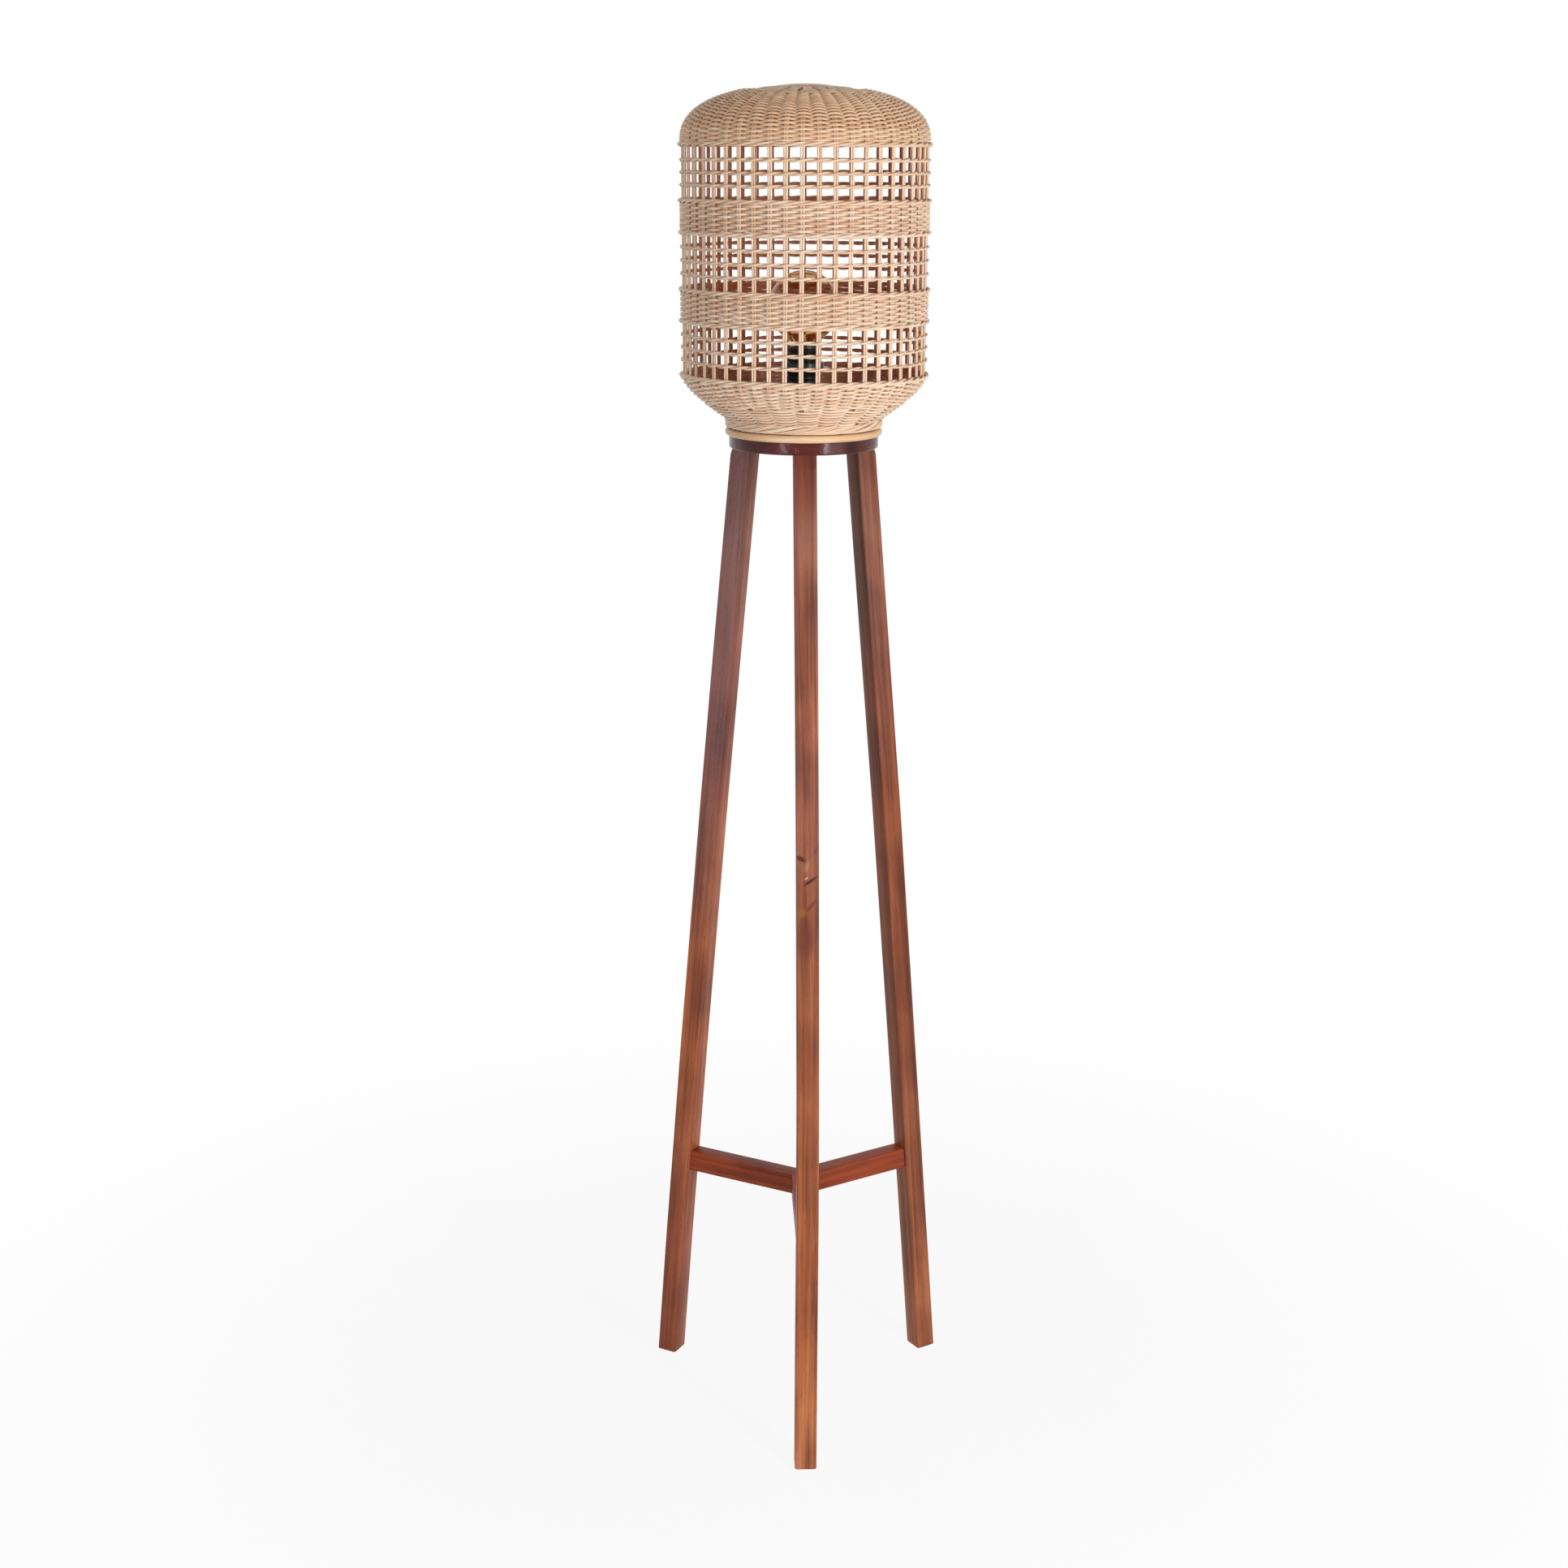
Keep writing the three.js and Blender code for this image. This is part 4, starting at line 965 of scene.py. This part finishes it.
def grained(mesh, grain, tint):
    """Gives a wooden mesh its grain coordinates and a tint for its stain, point by point."""
    mesh.attributes.new("grain", "FLOAT_VECTOR", "POINT").data.foreach_set("vector", np.ravel(grain))
    colours = np.concatenate([tint, np.ones((len(tint), 1))], -1)
    mesh.attributes.new("tint", "FLOAT_COLOR", "POINT").data.foreach_set("color", colours.ravel())
    return smoothed(mesh)


def stick(name, rings, caps, grain, tint):
    """A mesh of equal rings with flat end caps, its grain coordinates and a tint for its stain."""
    count, around = len(rings), len(rings[0])
    faces = []
    for i in range(count - 1):
        for k in range(around):
            a, b = i * around + k, i * around + (k + 1) % around
            faces.append((a, b, b + around, a + around))
    faces += [tuple(reversed(cap)) for cap in caps]
    faces += [tuple((count - 1) * around + k for k in cap) for cap in caps]
    mesh = bpy.data.meshes.new(name)
    mesh.from_pydata(np.concatenate(rings).tolist(), [], faces)
    return grained(mesh, grain, tint)


# %% [markdown]
# The stain wears to orange at the feet, on each leg in its own way, and the tint is darker and colder under the
# disc. The tint also paints a sheen: a pale bluish grey part way up each leg.
# Each step down a leg below is a height in millimetres and a share of the stain's red, green and blue,
# judged.

# %% The stain and painted sheen down each leg
STAIN_AND_SHEEN = {
    "front": ((0, 1.41, 1.63, 1.55), (35, 1.37, 1.60, 1.49), (110, 1.19, 1.24, 1.12), (213, 1.20, 1.17, 0.99),
              (400, 1.01, 1.02, 0.90), (540, 0.95, 0.96, 0.99), (680, 0.81, 0.82, 0.89),
              (830, 1.08, 1.18, 1.70), (970, 1.15, 1.22, 1.45), (1110, 0.66, 0.81, 1.20),
              (1165, 0.54, 0.44, 0.54), (1201, 0.40, 0.25, 0.28)),
    "left": ((0, 1.10, 1.00, 1.05), (125, 1.03, 0.92, 0.97), (452, 1.28, 1.20, 1.10), (779, 1.09, 1.09, 1.44),
             (1106, 0.85, 1.08, 1.75), (1170, 0.62, 0.62, 0.90), (1201, 0.50, 0.42, 0.60)),
    "right": ((0, 1.20, 1.25, 1.20), (125, 0.94, 0.97, 0.96), (452, 0.70, 0.64, 0.58), (779, 0.74, 0.62, 0.52),
              (960, 0.82, 0.90, 1.20), (1106, 0.81, 0.99, 1.45), (1170, 0.74, 0.78, 1.05),
              (1201, 0.60, 0.50, 0.62)),
}


def stain_and_sheen(side, heights):
    """The tint of a leg's stain, with its painted sheen, at each height."""
    marks, *shares = np.array(STAIN_AND_SHEEN[side]).T
    return np.stack([np.interp(heights, marks * MM, one) for one in shares], -1)


print("the front leg's stain at the foot and at the head:", stain_and_sheen("front", np.array([0.0, DISC_FOOT])).tolist())

# %% [markdown]
# Each leg is a stack of rings from the floor to the disc. The bow shifts a ring to the side by a few
# millimetres, the first ring is smaller and makes the chamfer, and the last few are trimmed on their outer
# face until they come level with the disc's rim.

# %% Legs
CHAMFER, FIRST_RING, LEG_RINGS = 1.2 * MM, 12 * MM, 70
FAIRED, FAIRED_RINGS, FAIRED_INSET = (1184 * MM, 1199.5 * MM), 6, 0.1 * MM
BOW_HEIGHTS = np.array([0, 150, 300, 450, 750, 950, 1201]) * MM
BOWS = {"front": [-0.5, 0.4, 1.6, 2.0, 1.2, -0.1, -2.2], "left": [3.0, 1.0, 0.0, -1.1, -1.7, -1.3, 0.0],
        "right": [-1.3, -0.1, 0.7, 1.7, 3.2, 2.8, 2.5]}


def leg_mesh(side, number, turn):
    """One leg, leaned in, bowed and trimmed under the disc's rim."""
    outward = np.array([math.cos(turn), math.sin(turn), 0])
    sideways = np.array([-math.sin(turn), math.cos(turn), 0])
    section = soft_square(leg_depth, LEG, EDGE)
    heights = np.concatenate([[0.0, CHAMFER], np.linspace(FIRST_RING, FAIRED[0], LEG_RINGS),
                              np.linspace(*FAIRED, FAIRED_RINGS)[1:], [DISC_FOOT]])
    bow = np.interp(heights, BOW_HEIGHTS, np.array(BOWS[side]) * MM)
    rings, grain = [], []
    for i, height in enumerate(heights):
        shrink = (1 - 2 * CHAMFER / LEG) if i == 0 else 1.0
        local = section * shrink
        reach = FOOT_RADIUS - lean * height
        proud = (reach + leg_depth / 2 - DISC_RIM) * (1 - smooth(height, *FAIRED))
        outer = DISC_RIM - FAIRED_INSET + proud - reach
        if height > FAIRED[0]:
            local = np.column_stack([np.minimum(local[:, 0], outer), local[:, 1]])
        centre = AXIS + reach * outward + [bow[i], 0, height]
        rings.append(centre + local[:, :1] * outward + local[:, 1:] * sideways)
        grain.append(np.column_stack([local, np.full(len(local), height + number * STICK_APART)]))
    # The tint carries the stain and its painted sheen up the leg.
    tint = np.repeat(stain_and_sheen(side, heights), len(section), axis=0)
    return stick(f"leg_{side}_wood", rings, [tuple(range(len(section)))], np.concatenate(grain), tint)


for number, (side, turn) in enumerate(PLACES.items()):
    new_piece(f"leg_{side}_wood", leg_mesh(side, number, turn), leg_wood, "stand", "leg_wood", f"leg_{side}")

# %% [markdown]
# Each arm of the stretcher starts in a point of 120 degrees at the axis, where the three are mitred
# together with a hairline between them, and ends against the leaning inner face of its leg. Its rings are
# slid between these two ends, so the grain runs straight from one to the other.

# %% Stretcher
ARM_EDGE, ARM_RINGS = 1.0 * MM, 26
ARM_STAIN = (0.88, 0.47, 0.26)


def arm_mesh(side, number, turn):
    """One arm of the stretcher, from its mitred point to the inner face of its leg."""
    outward = np.array([math.cos(turn), math.sin(turn), 0])
    sideways = np.array([-math.sin(turn), math.cos(turn), 0])
    section = soft_square(STRETCHER_HEIGHT, STRETCHER_WIDTH, ARM_EDGE)
    up_side, across = section[:, 0], section[:, 1]
    inner = PLAY / 2 / math.sin(math.pi / 3) + np.abs(across) / math.tan(math.pi / 3)
    outer = FOOT_RADIUS - lean * (STRETCHER_MID + up_side) - leg_depth / 2 - PLAY
    rings, grain = [], []
    for share_out in np.linspace(0, 1, ARM_RINGS):
        reach = inner + share_out * (outer - inner)
        ring = AXIS + reach[:, None] * outward + across[:, None] * sideways
        ring[:, 2] += STRETCHER_MID + up_side
        rings.append(ring)
        grain.append(np.column_stack([up_side, across, reach + number * STICK_APART]))
    middle = [k for k in range(len(section)) if abs(across[k]) < 1e-9]
    low, high = sorted(middle)
    caps = [tuple(range(low, high + 1)), tuple(range(high, len(section))) + tuple(range(0, low + 1))]
    tint = np.repeat([ARM_STAIN], len(section) * ARM_RINGS, axis=0)
    return stick(f"stretcher_{side}_wood", rings, caps, np.concatenate(grain), tint)


for number, (side, turn) in enumerate(PLACES.items()):
    mesh = arm_mesh(side, ARM_FRONT + number, turn)
    new_piece(f"stretcher_{side}_wood", mesh, leg_wood, "stand", "stretcher_wood", f"stretcher_{side}")

# %% [markdown]
# Much of the lamp is turned or moulded round one axis, and drawn as the outline of a cut through it. No
# real corner is sharp, so each corner of an outline that stands off the axis is first rounded with a
# small curve. An outline that carries a thread also needs enough points for the thread's waves.

# %% Outlines
MOST_OF_A_SIDE = 0.45


def softened(outline, edge, steps=3):
    """A closed outline with each corner off the axis rounded."""
    points = np.array(outline, float)
    soft = []
    for i, corner in enumerate(points):
        before, after = points[i - 1], points[(i + 1) % len(points)]
        to_before, to_after = before - corner, after - corner
        short = min(np.linalg.norm(to_before), np.linalg.norm(to_after))
        if corner[0] <= 0 or short == 0:
            soft.append(corner)
            continue
        cut = min(edge, MOST_OF_A_SIDE * short)
        start, end = corner + unit(to_before) * cut, corner + unit(to_after) * cut
        for on in np.linspace(0, 1, steps + 1):
            soft.append((1 - on) ** 2 * start + 2 * on * (1 - on) * corner + on ** 2 * end)
    return np.array(soft)


def divided(outline, step):
    """A closed outline with extra points, so that no step is longer than asked."""
    points = []
    for start, end in zip(outline, np.roll(outline, -1, 0)):
        count = max(1, int(math.ceil(np.linalg.norm(end - start) / step)))
        points.extend(start + (end - start) * k / count for k in range(count))
    return np.array(points)


print("points of a softened square:", len(softened([(1, 0), (2, 0), (2, 1), (1, 1)], 0.1)))

# %% [markdown]
# `turned` carries an outline round the axis. A screw thread is the same outline whose radius waves with
# height and shifts by one pitch a turn, and it fades out towards both ends as a cut thread does. Flutes
# are a wave round the rim. Points that meet on the axis are joined, so every turned piece is closed.

# %% Turned pieces
THREAD_STEP, THREAD_NEAR, FLUTE_NEAR = 0.25 * MM, 0.06 * MM, 0.3 * MM


def cut_thread(radius, height, turn, foot, top, crest, pitch, depth):
    """The radius with a thread cut into the part that lies at the crest."""
    ease = smooth(height, foot, foot + pitch) * (1 - smooth(height, top - pitch, top))
    groove = 0.5 - 0.5 * np.cos(2 * np.pi * (height / pitch - turn / (2 * np.pi)))
    return radius - np.where(abs(radius - crest) < THREAD_NEAR, depth * ease * groove, 0)


def cut_flutes(radius, turn, count, crest, depth):
    """The radius with flutes cut into the part that lies at the crest."""
    groove = 0.5 - 0.5 * np.cos(count * turn)
    return radius - np.where(abs(radius - crest * MM) < FLUTE_NEAR, depth * MM * groove, 0)


def turned(name, outline, around=96, edge=0.4 * MM, thread=None, flutes=None, sharp=35):
    """A turned mesh. A thread is (foot, top, radius, pitch, depth), and flutes are (count, radius, depth)."""
    profile = softened([(r * MM, z * MM) for r, z in outline], edge)
    if thread:
        profile = divided(profile, THREAD_STEP)
    turn = np.linspace(0, 2 * np.pi, around, endpoint=False)
    radius = np.repeat(profile[:, :1], around, axis=1)
    height = np.repeat(profile[:, 1:], around, axis=1)
    if thread:
        radius = cut_thread(radius, height, turn, *(value * MM for value in thread))
    if flutes:
        radius = cut_flutes(radius, turn, *flutes)
    points = on_axis(radius, turn[None, :], height).reshape(-1, 3)
    count = len(profile)
    work = bmesh.new()
    verts = [work.verts.new(point) for point in points]
    for i in range(count):
        j = (i + 1) % count
        if profile[i, 0] <= 0 and profile[j, 0] <= 0:
            continue
        for k in range(around):
            m = (k + 1) % around
            work.faces.new([verts[i * around + k], verts[i * around + m], verts[j * around + m],
                            verts[j * around + k]])
    bmesh.ops.remove_doubles(work, verts=work.verts, dist=1e-7)
    bmesh.ops.recalc_face_normals(work, faces=work.faces)
    return smoothed(mesh_from(work, name), sharp)


# %% [markdown]
# The disc is turned from one board, with a rounded lower rim and a low step on top that centres the
# hoop. The legs are screwed on from above, so three countersunk holes are cut through it with an exact
# boolean, each with a little play round its screw.

# %% Disc
STEP_RADIUS, STEP_TOP = 80.29, 1218.0
TUBE_HOLE, LEDGE = 5.3, 1214
SCREW_SHANK, SCREW_HEAD, SCREW_PLAY, SINK = 2.5, 4.6, 0.3, 2.1
BELOW_DISC, OVER_DISC = 1195, STEP_TOP + 2
disc = turned("disc_wood", [(TUBE_HOLE, 1200), (83.6, 1200), (85.1, 1200.6), (85.6, 1202), (85.6, LEDGE),
                            (STEP_RADIUS, LEDGE), (STEP_RADIUS, STEP_TOP), (TUBE_HOLE, STEP_TOP)],
              around=160, edge=0.8 * MM)
disc_piece = new_piece("disc_wood", disc, disc_wood, "stand", "disc_wood", "top_disc")


def cut_from(piece, cutter):
    """Cuts one mesh object out of another with an exact boolean, and drops the cutter."""
    tool = bpy.data.objects.new("cutter", cutter)
    bpy.context.scene.collection.objects.link(tool)
    boolean = piece.modifiers.new("cut", "BOOLEAN")
    boolean.operation, boolean.object, boolean.solver = "DIFFERENCE", tool, "EXACT"
    graph = bpy.context.evaluated_depsgraph_get()
    result = bpy.data.meshes.new_from_object(piece.evaluated_get(graph))
    piece.modifiers.clear()
    piece.data = result
    bpy.data.objects.remove(tool)


for turn in PLACES.values():
    narrow, wide = SCREW_SHANK + SCREW_PLAY, SCREW_HEAD + SCREW_PLAY
    hole = turned("hole", [(0, BELOW_DISC), (narrow, BELOW_DISC), (narrow, STEP_TOP - SINK), (wide, STEP_TOP),
                           (wide, OVER_DISC), (0, OVER_DISC)], around=32, edge=0.01 * MM)
    screw_reach = FOOT_RADIUS - lean * DISC_FOOT
    hole.transform(Matrix.Translation((screw_reach * math.cos(turn), screw_reach * math.sin(turn), 0)))
    cut_from(disc_piece, hole)
print("disc after cutting:", len(disc_piece.data.vertices), "vertices")

# %% [markdown]
# The disc's grain runs straight across, from side to side, as in the board that it was sawn from. So its
# third coordinate, the one along the grain, is its own left to right, and no stain varies over it.

# %% The disc's grain
disc = disc_piece.data
places = np.empty(len(disc.vertices) * 3)
disc.vertices.foreach_get("co", places)
places = places.reshape(-1, 3) - AXIS
grain = np.column_stack([places[:, 1], places[:, 2] - DISC_FOOT, places[:, 0] + DISC * STICK_APART])
grained(disc, grain, np.ones((len(disc.vertices), 3)))
print("the disc is", round((places[:, 0].max() - places[:, 0].min()) / MM, 1), "mm across")

# %% [markdown]
# The lampholder stands on a hollow threaded tube that comes up through the disc between two nuts. The
# lower half is a moulded dome, the upper half a threaded skirt that carries a wide flange ring. Inside
# are a ceramic core, a sprung contact and the brass shell that the bulb screws into. First come the tube,
# which is a rolled thread with a bore for the flex, and the two washers that the nuts press on the disc.

# %% Tube and washers
WASHER, WASHER_THICK = 11, 1.5
tube = turned("nipple_thread", [(3.5, 1190.5), (5, 1190.5), (5, 1261.8), (3.5, 1261.8)], around=48,
              edge=0.15 * MM, thread=(1190.5, 1261.8, 5, 1.0, 0.45))
new_piece("nipple_thread", tube, zinc_steel, "stand", "zinc_steel", "threaded_nipple")
for node, foot in (("washer_lower", 1199.5), ("washer_upper", STEP_TOP)):
    ring = turned(f"{node}_round", [(TUBE_HOLE, foot), (WASHER, foot), (WASHER, foot + WASHER_THICK),
                                    (TUBE_HOLE, foot + WASHER_THICK)], around=64, edge=0.35 * MM)
    new_piece(f"{node}_round", ring, zinc_steel, "stand", "zinc_steel", node)

# %% [markdown]
# Each outline below is a cut through one piece of the lampholder, as distances from the axis and heights
# in millimetres. The skirt carries a coarse round thread, and the flange ring, which screws onto it from
# above, has fine flutes round its rim for the fingers.

# %% Lampholder
cap = turned("holder_dome", [(5.3, 1250), (8.6, 1250), (9, 1250.6), (9, 1256), (14.5, 1257), (17.6, 1258.6),
                             (19.3, 1261), (20, 1264.5), (20, 1276), (17.8, 1276), (17.8, 1261.8),
                             (5.3, 1261.8)], edge=0.9 * MM)
new_piece("holder_dome", cap, black_phenolic, "stand", "black_phenolic", "holder_cap")
skirt = turned("holder_skirt", [(17.8, 1276.3), (20, 1276.3), (20, 1314.8), (14.5, 1314.8), (14.5, 1312.8),
                                (17.8, 1312.8)], edge=0.6 * MM, thread=(1279.5, 1312.5, 20, 2.6, 0.9))
new_piece("holder_skirt", skirt, black_phenolic, "stand", "black_phenolic", "holder_sleeve")
core = turned("holder_ceramic", [(0, 1262.1), (17.5, 1262.1), (17.5, 1282.1), (0, 1282.1)], edge=0.8 * MM)
new_piece("holder_ceramic", core, glazed_ceramic, "stand", "white_ceramic", "holder_core")
contact = turned("contact_button", [(0, 1282.1), (4, 1282.1), (3.4, 1283.5), (2, 1283.9), (0, 1283.9)],
                 around=48, edge=0.3 * MM)
new_piece("contact_button", contact, stamped_brass, "stand", "brass", "centre_contact")
shell = turned("shell_thread", [(13.7, 1282.1), (14.2, 1282.1), (14.2, 1312.8), (13.7, 1312.8)],
               edge=0.1 * MM)
new_piece("shell_thread", shell, stamped_brass, "stand", "brass", "screw_shell")
flange = turned("flange_round", [(20.4, 1287.3), (28.75, 1287.3), (28.75, 1290.3), (22.8, 1290.6),
                                 (22.4, 1296.3), (20.4, 1296.3)], around=192, edge=0.5 * MM,
                flutes=(48, 28.75, 0.5))
new_piece("flange_round", flange, black_phenolic, "flange_ring", "black_phenolic", "shade_ring")

# %% [markdown]
# The bulb is a decorative globe of amber glass. A real bulb's wall is under a millimetre thick and bends
# light hardly at all, and it shows by its rim, where the eye looks along the wall, and by the lamps
# mirrored in it. So the glass here is a true wall with two faces, with the flared stem and the zigzag of
# the filament inside it.

# %% Bulb
GLOBE_RADIUS, GLOBE_CENTRE, GLASS_WALL = 40.5, 1358.2, 0.7
GLASS_NECK, GLASS_FOOT, NECK_TOP = 12.5, 1304.5, 1317.5
SHOULDER = math.radians(53)
STEM_TOP = 1346.5


def bulb_outline(inset):
    """The glass from the neck's end to the crown, drawn in by a wall, in millimetres."""
    radius, neck = GLOBE_RADIUS - inset, GLASS_NECK - inset
    meet = np.array([radius * math.cos(SHOULDER), GLOBE_CENTRE - radius * math.sin(SHOULDER)])
    foot = np.array([neck, NECK_TOP])
    bend_at = np.array([neck, meet[1] - (meet[0] - neck) / math.tan(SHOULDER)])
    steps = np.linspace(0, 1, 14)[:, None]
    sweep_in = (1 - steps) ** 2 * foot + 2 * steps * (1 - steps) * bend_at + steps ** 2 * meet
    turn = np.linspace(-SHOULDER, math.pi / 2, 60)[1:]
    globe = np.stack([radius * np.cos(turn), GLOBE_CENTRE + radius * np.sin(turn)], -1)
    globe[-1, 0] = 0
    return np.concatenate([[[neck, GLASS_FOOT]], sweep_in, globe])


glass = turned("bulb_globe", np.concatenate([bulb_outline(0), bulb_outline(GLASS_WALL)[::-1]]), edge=0.0,
               sharp=60)
new_piece("bulb_globe", glass, amber_glass, "bulb", "amber_glass", "bulb_glass")
screw_cap = turned("bulb_screw_cap", [(5, 1290), (10, 1290), (13.2, 1294), (13.2, 1311.5), (12.8, 1311.5),
                                      (12.8, 1294.4), (9.6, 1290.4), (5, 1290.4)], edge=0.15 * MM,
                   thread=(1293.5, 1310, 13.2, 3.6, 0.35))
new_piece("bulb_screw_cap", screw_cap, stamped_brass, "bulb", "brass", "bulb_cap")
stem = turned("stem_glass", [(0, GLASS_FOOT), (11.3, GLASS_FOOT), (11.3, 1305.4), (6.5, 1309), (3.4, 1314),
                             (2.2, 1319), (2.2, 1345), (1.4, STEM_TOP), (0, STEM_TOP)], around=48,
              edge=0.8 * MM, sharp=60)
new_piece("stem_glass", stem, clear_glass, "bulb", "clear_glass", "glass_stem")

# %% [markdown]
# The filament is one wire that leaves the stem's tip, zigzags up and down round it as a cage and comes
# back. A Catmull-Rom line through its corners bends as drawn wire does, with no sharp turn.

# %% Filament
WIRE, LOOPS, TURN_SHARE, CAGE, CAGE_HEIGHT = 0.7 * MM, 12, 0.9, 13 * MM, 26 * MM
OFF_STEM, UNDER_BULB = 0.8, 1300 * MM
wire_foot = (STEM_TOP + OFF_STEM) * MM
corners = [AXIS + [-OFF_STEM * MM, 0, (STEM_TOP - 1) * MM], AXIS + [-OFF_STEM * MM, 0, wire_foot]]
for i in range(LOOPS + 1):
    turn = math.pi * (1 - TURN_SHARE + 2 * TURN_SHARE * i / LOOPS)
    reach = CAGE / 2 if i % 2 else CAGE
    corners.append(on_axis(-reach, -turn, wire_foot + (CAGE_HEIGHT if i % 2 else 0)))


def through(points, steps):
    """A smooth line through points."""
    ends = np.concatenate([[2 * points[0] - points[1]], points, [2 * points[-1] - points[-2]]])
    t = np.linspace(0, 1, steps, endpoint=False)[:, None]
    spans = []
    for a, b, c, d in zip(ends, ends[1:], ends[2:], ends[3:]):
        spans.append(0.5 * (2 * b + (c - a) * t + (2 * a - 5 * b + 4 * c - d) * t ** 2
                            + (3 * b - a - 3 * c + d) * t ** 3))
    return np.concatenate(spans + [points[-1:]])


wire_path = through(np.array(corners), 8)
wire_out = wire_path - AXIS - [0, 0, UNDER_BULB]
filament = sweep("filament_wire", [(wire_path, wire_out, WIRE / 2, False, 1.0)], 8)
new_piece("filament_wire", filament, filament_wire, "bulb", "filament_metal", "filament")

# %% [markdown]
# The nuts, screws, dowels and the two ends of the bulb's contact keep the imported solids' shapes. They are
# small and mostly hidden, so a copy of each gets eased edges and its own finish and stands for the node.

# %% Small fittings
def eased_copy(node, width, material, body, slot):
    """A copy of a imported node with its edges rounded."""
    work = bmesh.new()
    work.from_mesh(nodes[node].data)
    bmesh.ops.remove_doubles(work, verts=work.verts, dist=1e-6)
    bmesh.ops.dissolve_limit(work, angle_limit=math.radians(1), verts=work.verts, edges=work.edges)
    edges = [e for e in work.edges if len(e.link_faces) == 2 and e.calc_face_angle() > math.radians(40)]
    bmesh.ops.bevel(work, geom=edges, offset=width, segments=2, affect="EDGES", profile=0.5,
                    clamp_overlap=True)
    mesh = smoothed(mesh_from(work, f"{node}_eased"))
    new_piece(f"{node}_eased", mesh, material, body, slot, node)


for side in PLACES:
    eased_copy(f"leg_screw_{side}", 0.25 * MM, zinc_steel, "stand", "zinc_steel")
    eased_copy(f"dowel_{side}", 0.5 * MM, bare_wood, "stand", "dowel_wood")
eased_copy("lock_nut_lower", 0.5 * MM, zinc_steel, "stand", "zinc_steel")
eased_copy("lock_nut_upper", 0.5 * MM, zinc_steel, "stand", "zinc_steel")
eased_copy("bulb_contact", 0.5 * MM, stamped_brass, "bulb", "brass")
eased_copy("bulb_insulator", 0.4 * MM, black_glass, "bulb", "black_insulator")
print("packed nodes still shown:", [name for name, node in nodes.items() if not node.hide_render])

# %% [markdown]
# The floor is pale and matt. It keeps the lamp's shadow, and adds just enough of its own light for the
# camera to meet the white of the background, a little less of it under the lamp than far away.

# %% Floor
FLOOR_HALF = 30.0
FLOOR_GRIT = 8 * MM
WHITE_NEAR, WHITE_FAR = (0.3, 0.9), (1.6, 1.0)
work = bmesh.new()
work.faces.new([work.verts.new((x * FLOOR_HALF, y * FLOOR_HALF, 0))
                for x, y in ((-1, -1), (1, -1), (1, 1), (-1, 1))])
floor_mesh = mesh_from(work, "floor")
floor = bpy.data.objects.new("floor", floor_mesh)
bpy.context.scene.collection.objects.link(floor)
floor_paint, tree, shader = new_material("pale_floor_paint")
place = add_node(tree, "TexCoord").outputs["Object"]
grit = add_node(tree, "TexNoise", {"Vector": place, "Scale": 1 / FLOOR_GRIT})
paint = add_node(tree, "Mix", {"Factor": grit.outputs["Fac"], "A": linear("#f6f6f6"), "B": linear("#f9f9f9")},
                 data_type="RGBA")
feed(shader, {"Base Color": paint.outputs["Result"], "Roughness": 0.9, "Specular IOR Level": 0.0})
white = add_node(tree, "Emission", {"Color": linear("#ffffff"), "Strength": 1.0})
far = add_node(tree, "VectorMath", {0: place}, operation="LENGTH")
whiteness = add_node(tree, "MapRange", {"Value": far.outputs["Value"], "From Min": WHITE_NEAR[0],
                                        "From Max": WHITE_FAR[0], "To Min": WHITE_NEAR[1],
                                        "To Max": WHITE_FAR[1]}, interpolation_type="SMOOTHSTEP")
share_white = add_node(tree, "Math", {0: seen_directly(tree), 1: whiteness.outputs["Result"]},
                       operation="MULTIPLY")
lit = add_node(tree, "MixShader", {0: share_white.outputs[0], 1: shader.outputs["BSDF"],
                                   2: white.outputs["Emission"]})
tree.links.new(lit.outputs["Shader"], tree.nodes["Material Output"].inputs["Surface"])
floor_mesh.materials.append(floor_paint)
print("floor", 2 * FLOOR_HALF, "m across")

# %% [markdown]
# The picture was lit from the front right by two tall soft lights, a narrow one and a broad one beside
# it, with a weak one to the left of the camera, and by a pale room. The camera and every mirror and glass
# see a plain white room, but the light that it sheds on the lamp is a soft grey.

# %% Room and lights
ROOM_GREY, ROOM_WHITE = 0.27, 1.0
world = bpy.data.worlds.new("room")
bpy.context.scene.world = world
world.use_nodes = True
tree = world.node_tree
room = add_node(tree, "MapRange", {"Value": seen_directly(tree), "To Min": ROOM_GREY, "To Max": ROOM_WHITE})
feed(tree.nodes["Background"], {"Color": linear("#ffffff"), "Strength": room.outputs["Result"]})


LIGHT_AWAY, LIGHT_TALL = 2.6, 2.2


def softbox(name, azimuth, height, width, power):
    """A tall soft light at an azimuth in degrees round the lamp and level with a height on it."""
    light = bpy.data.lights.new(name, "AREA")
    light.shape, light.size, light.size_y, light.energy = "RECTANGLE", width, LIGHT_TALL, power
    lamp = bpy.data.objects.new(name, light)
    bpy.context.scene.collection.objects.link(lamp)
    lamp.location = Vector(on_axis(LIGHT_AWAY, math.radians(azimuth), height))
    towards = Vector((AXIS[0], AXIS[1], height)) - lamp.location
    lamp.rotation_euler = towards.to_track_quat("-Z", "Y").to_euler()
    print(f"{name}: {power} W, {width} m wide")


softbox("key_front_right", -57, 1.15, 0.32, 35)
softbox("broad_right", -42, 1.15, 1.2, 14)
softbox("fill_front_left", -123, 1.3, 0.3, 16)
bpy.context.scene.view_settings.view_transform = "Standard"
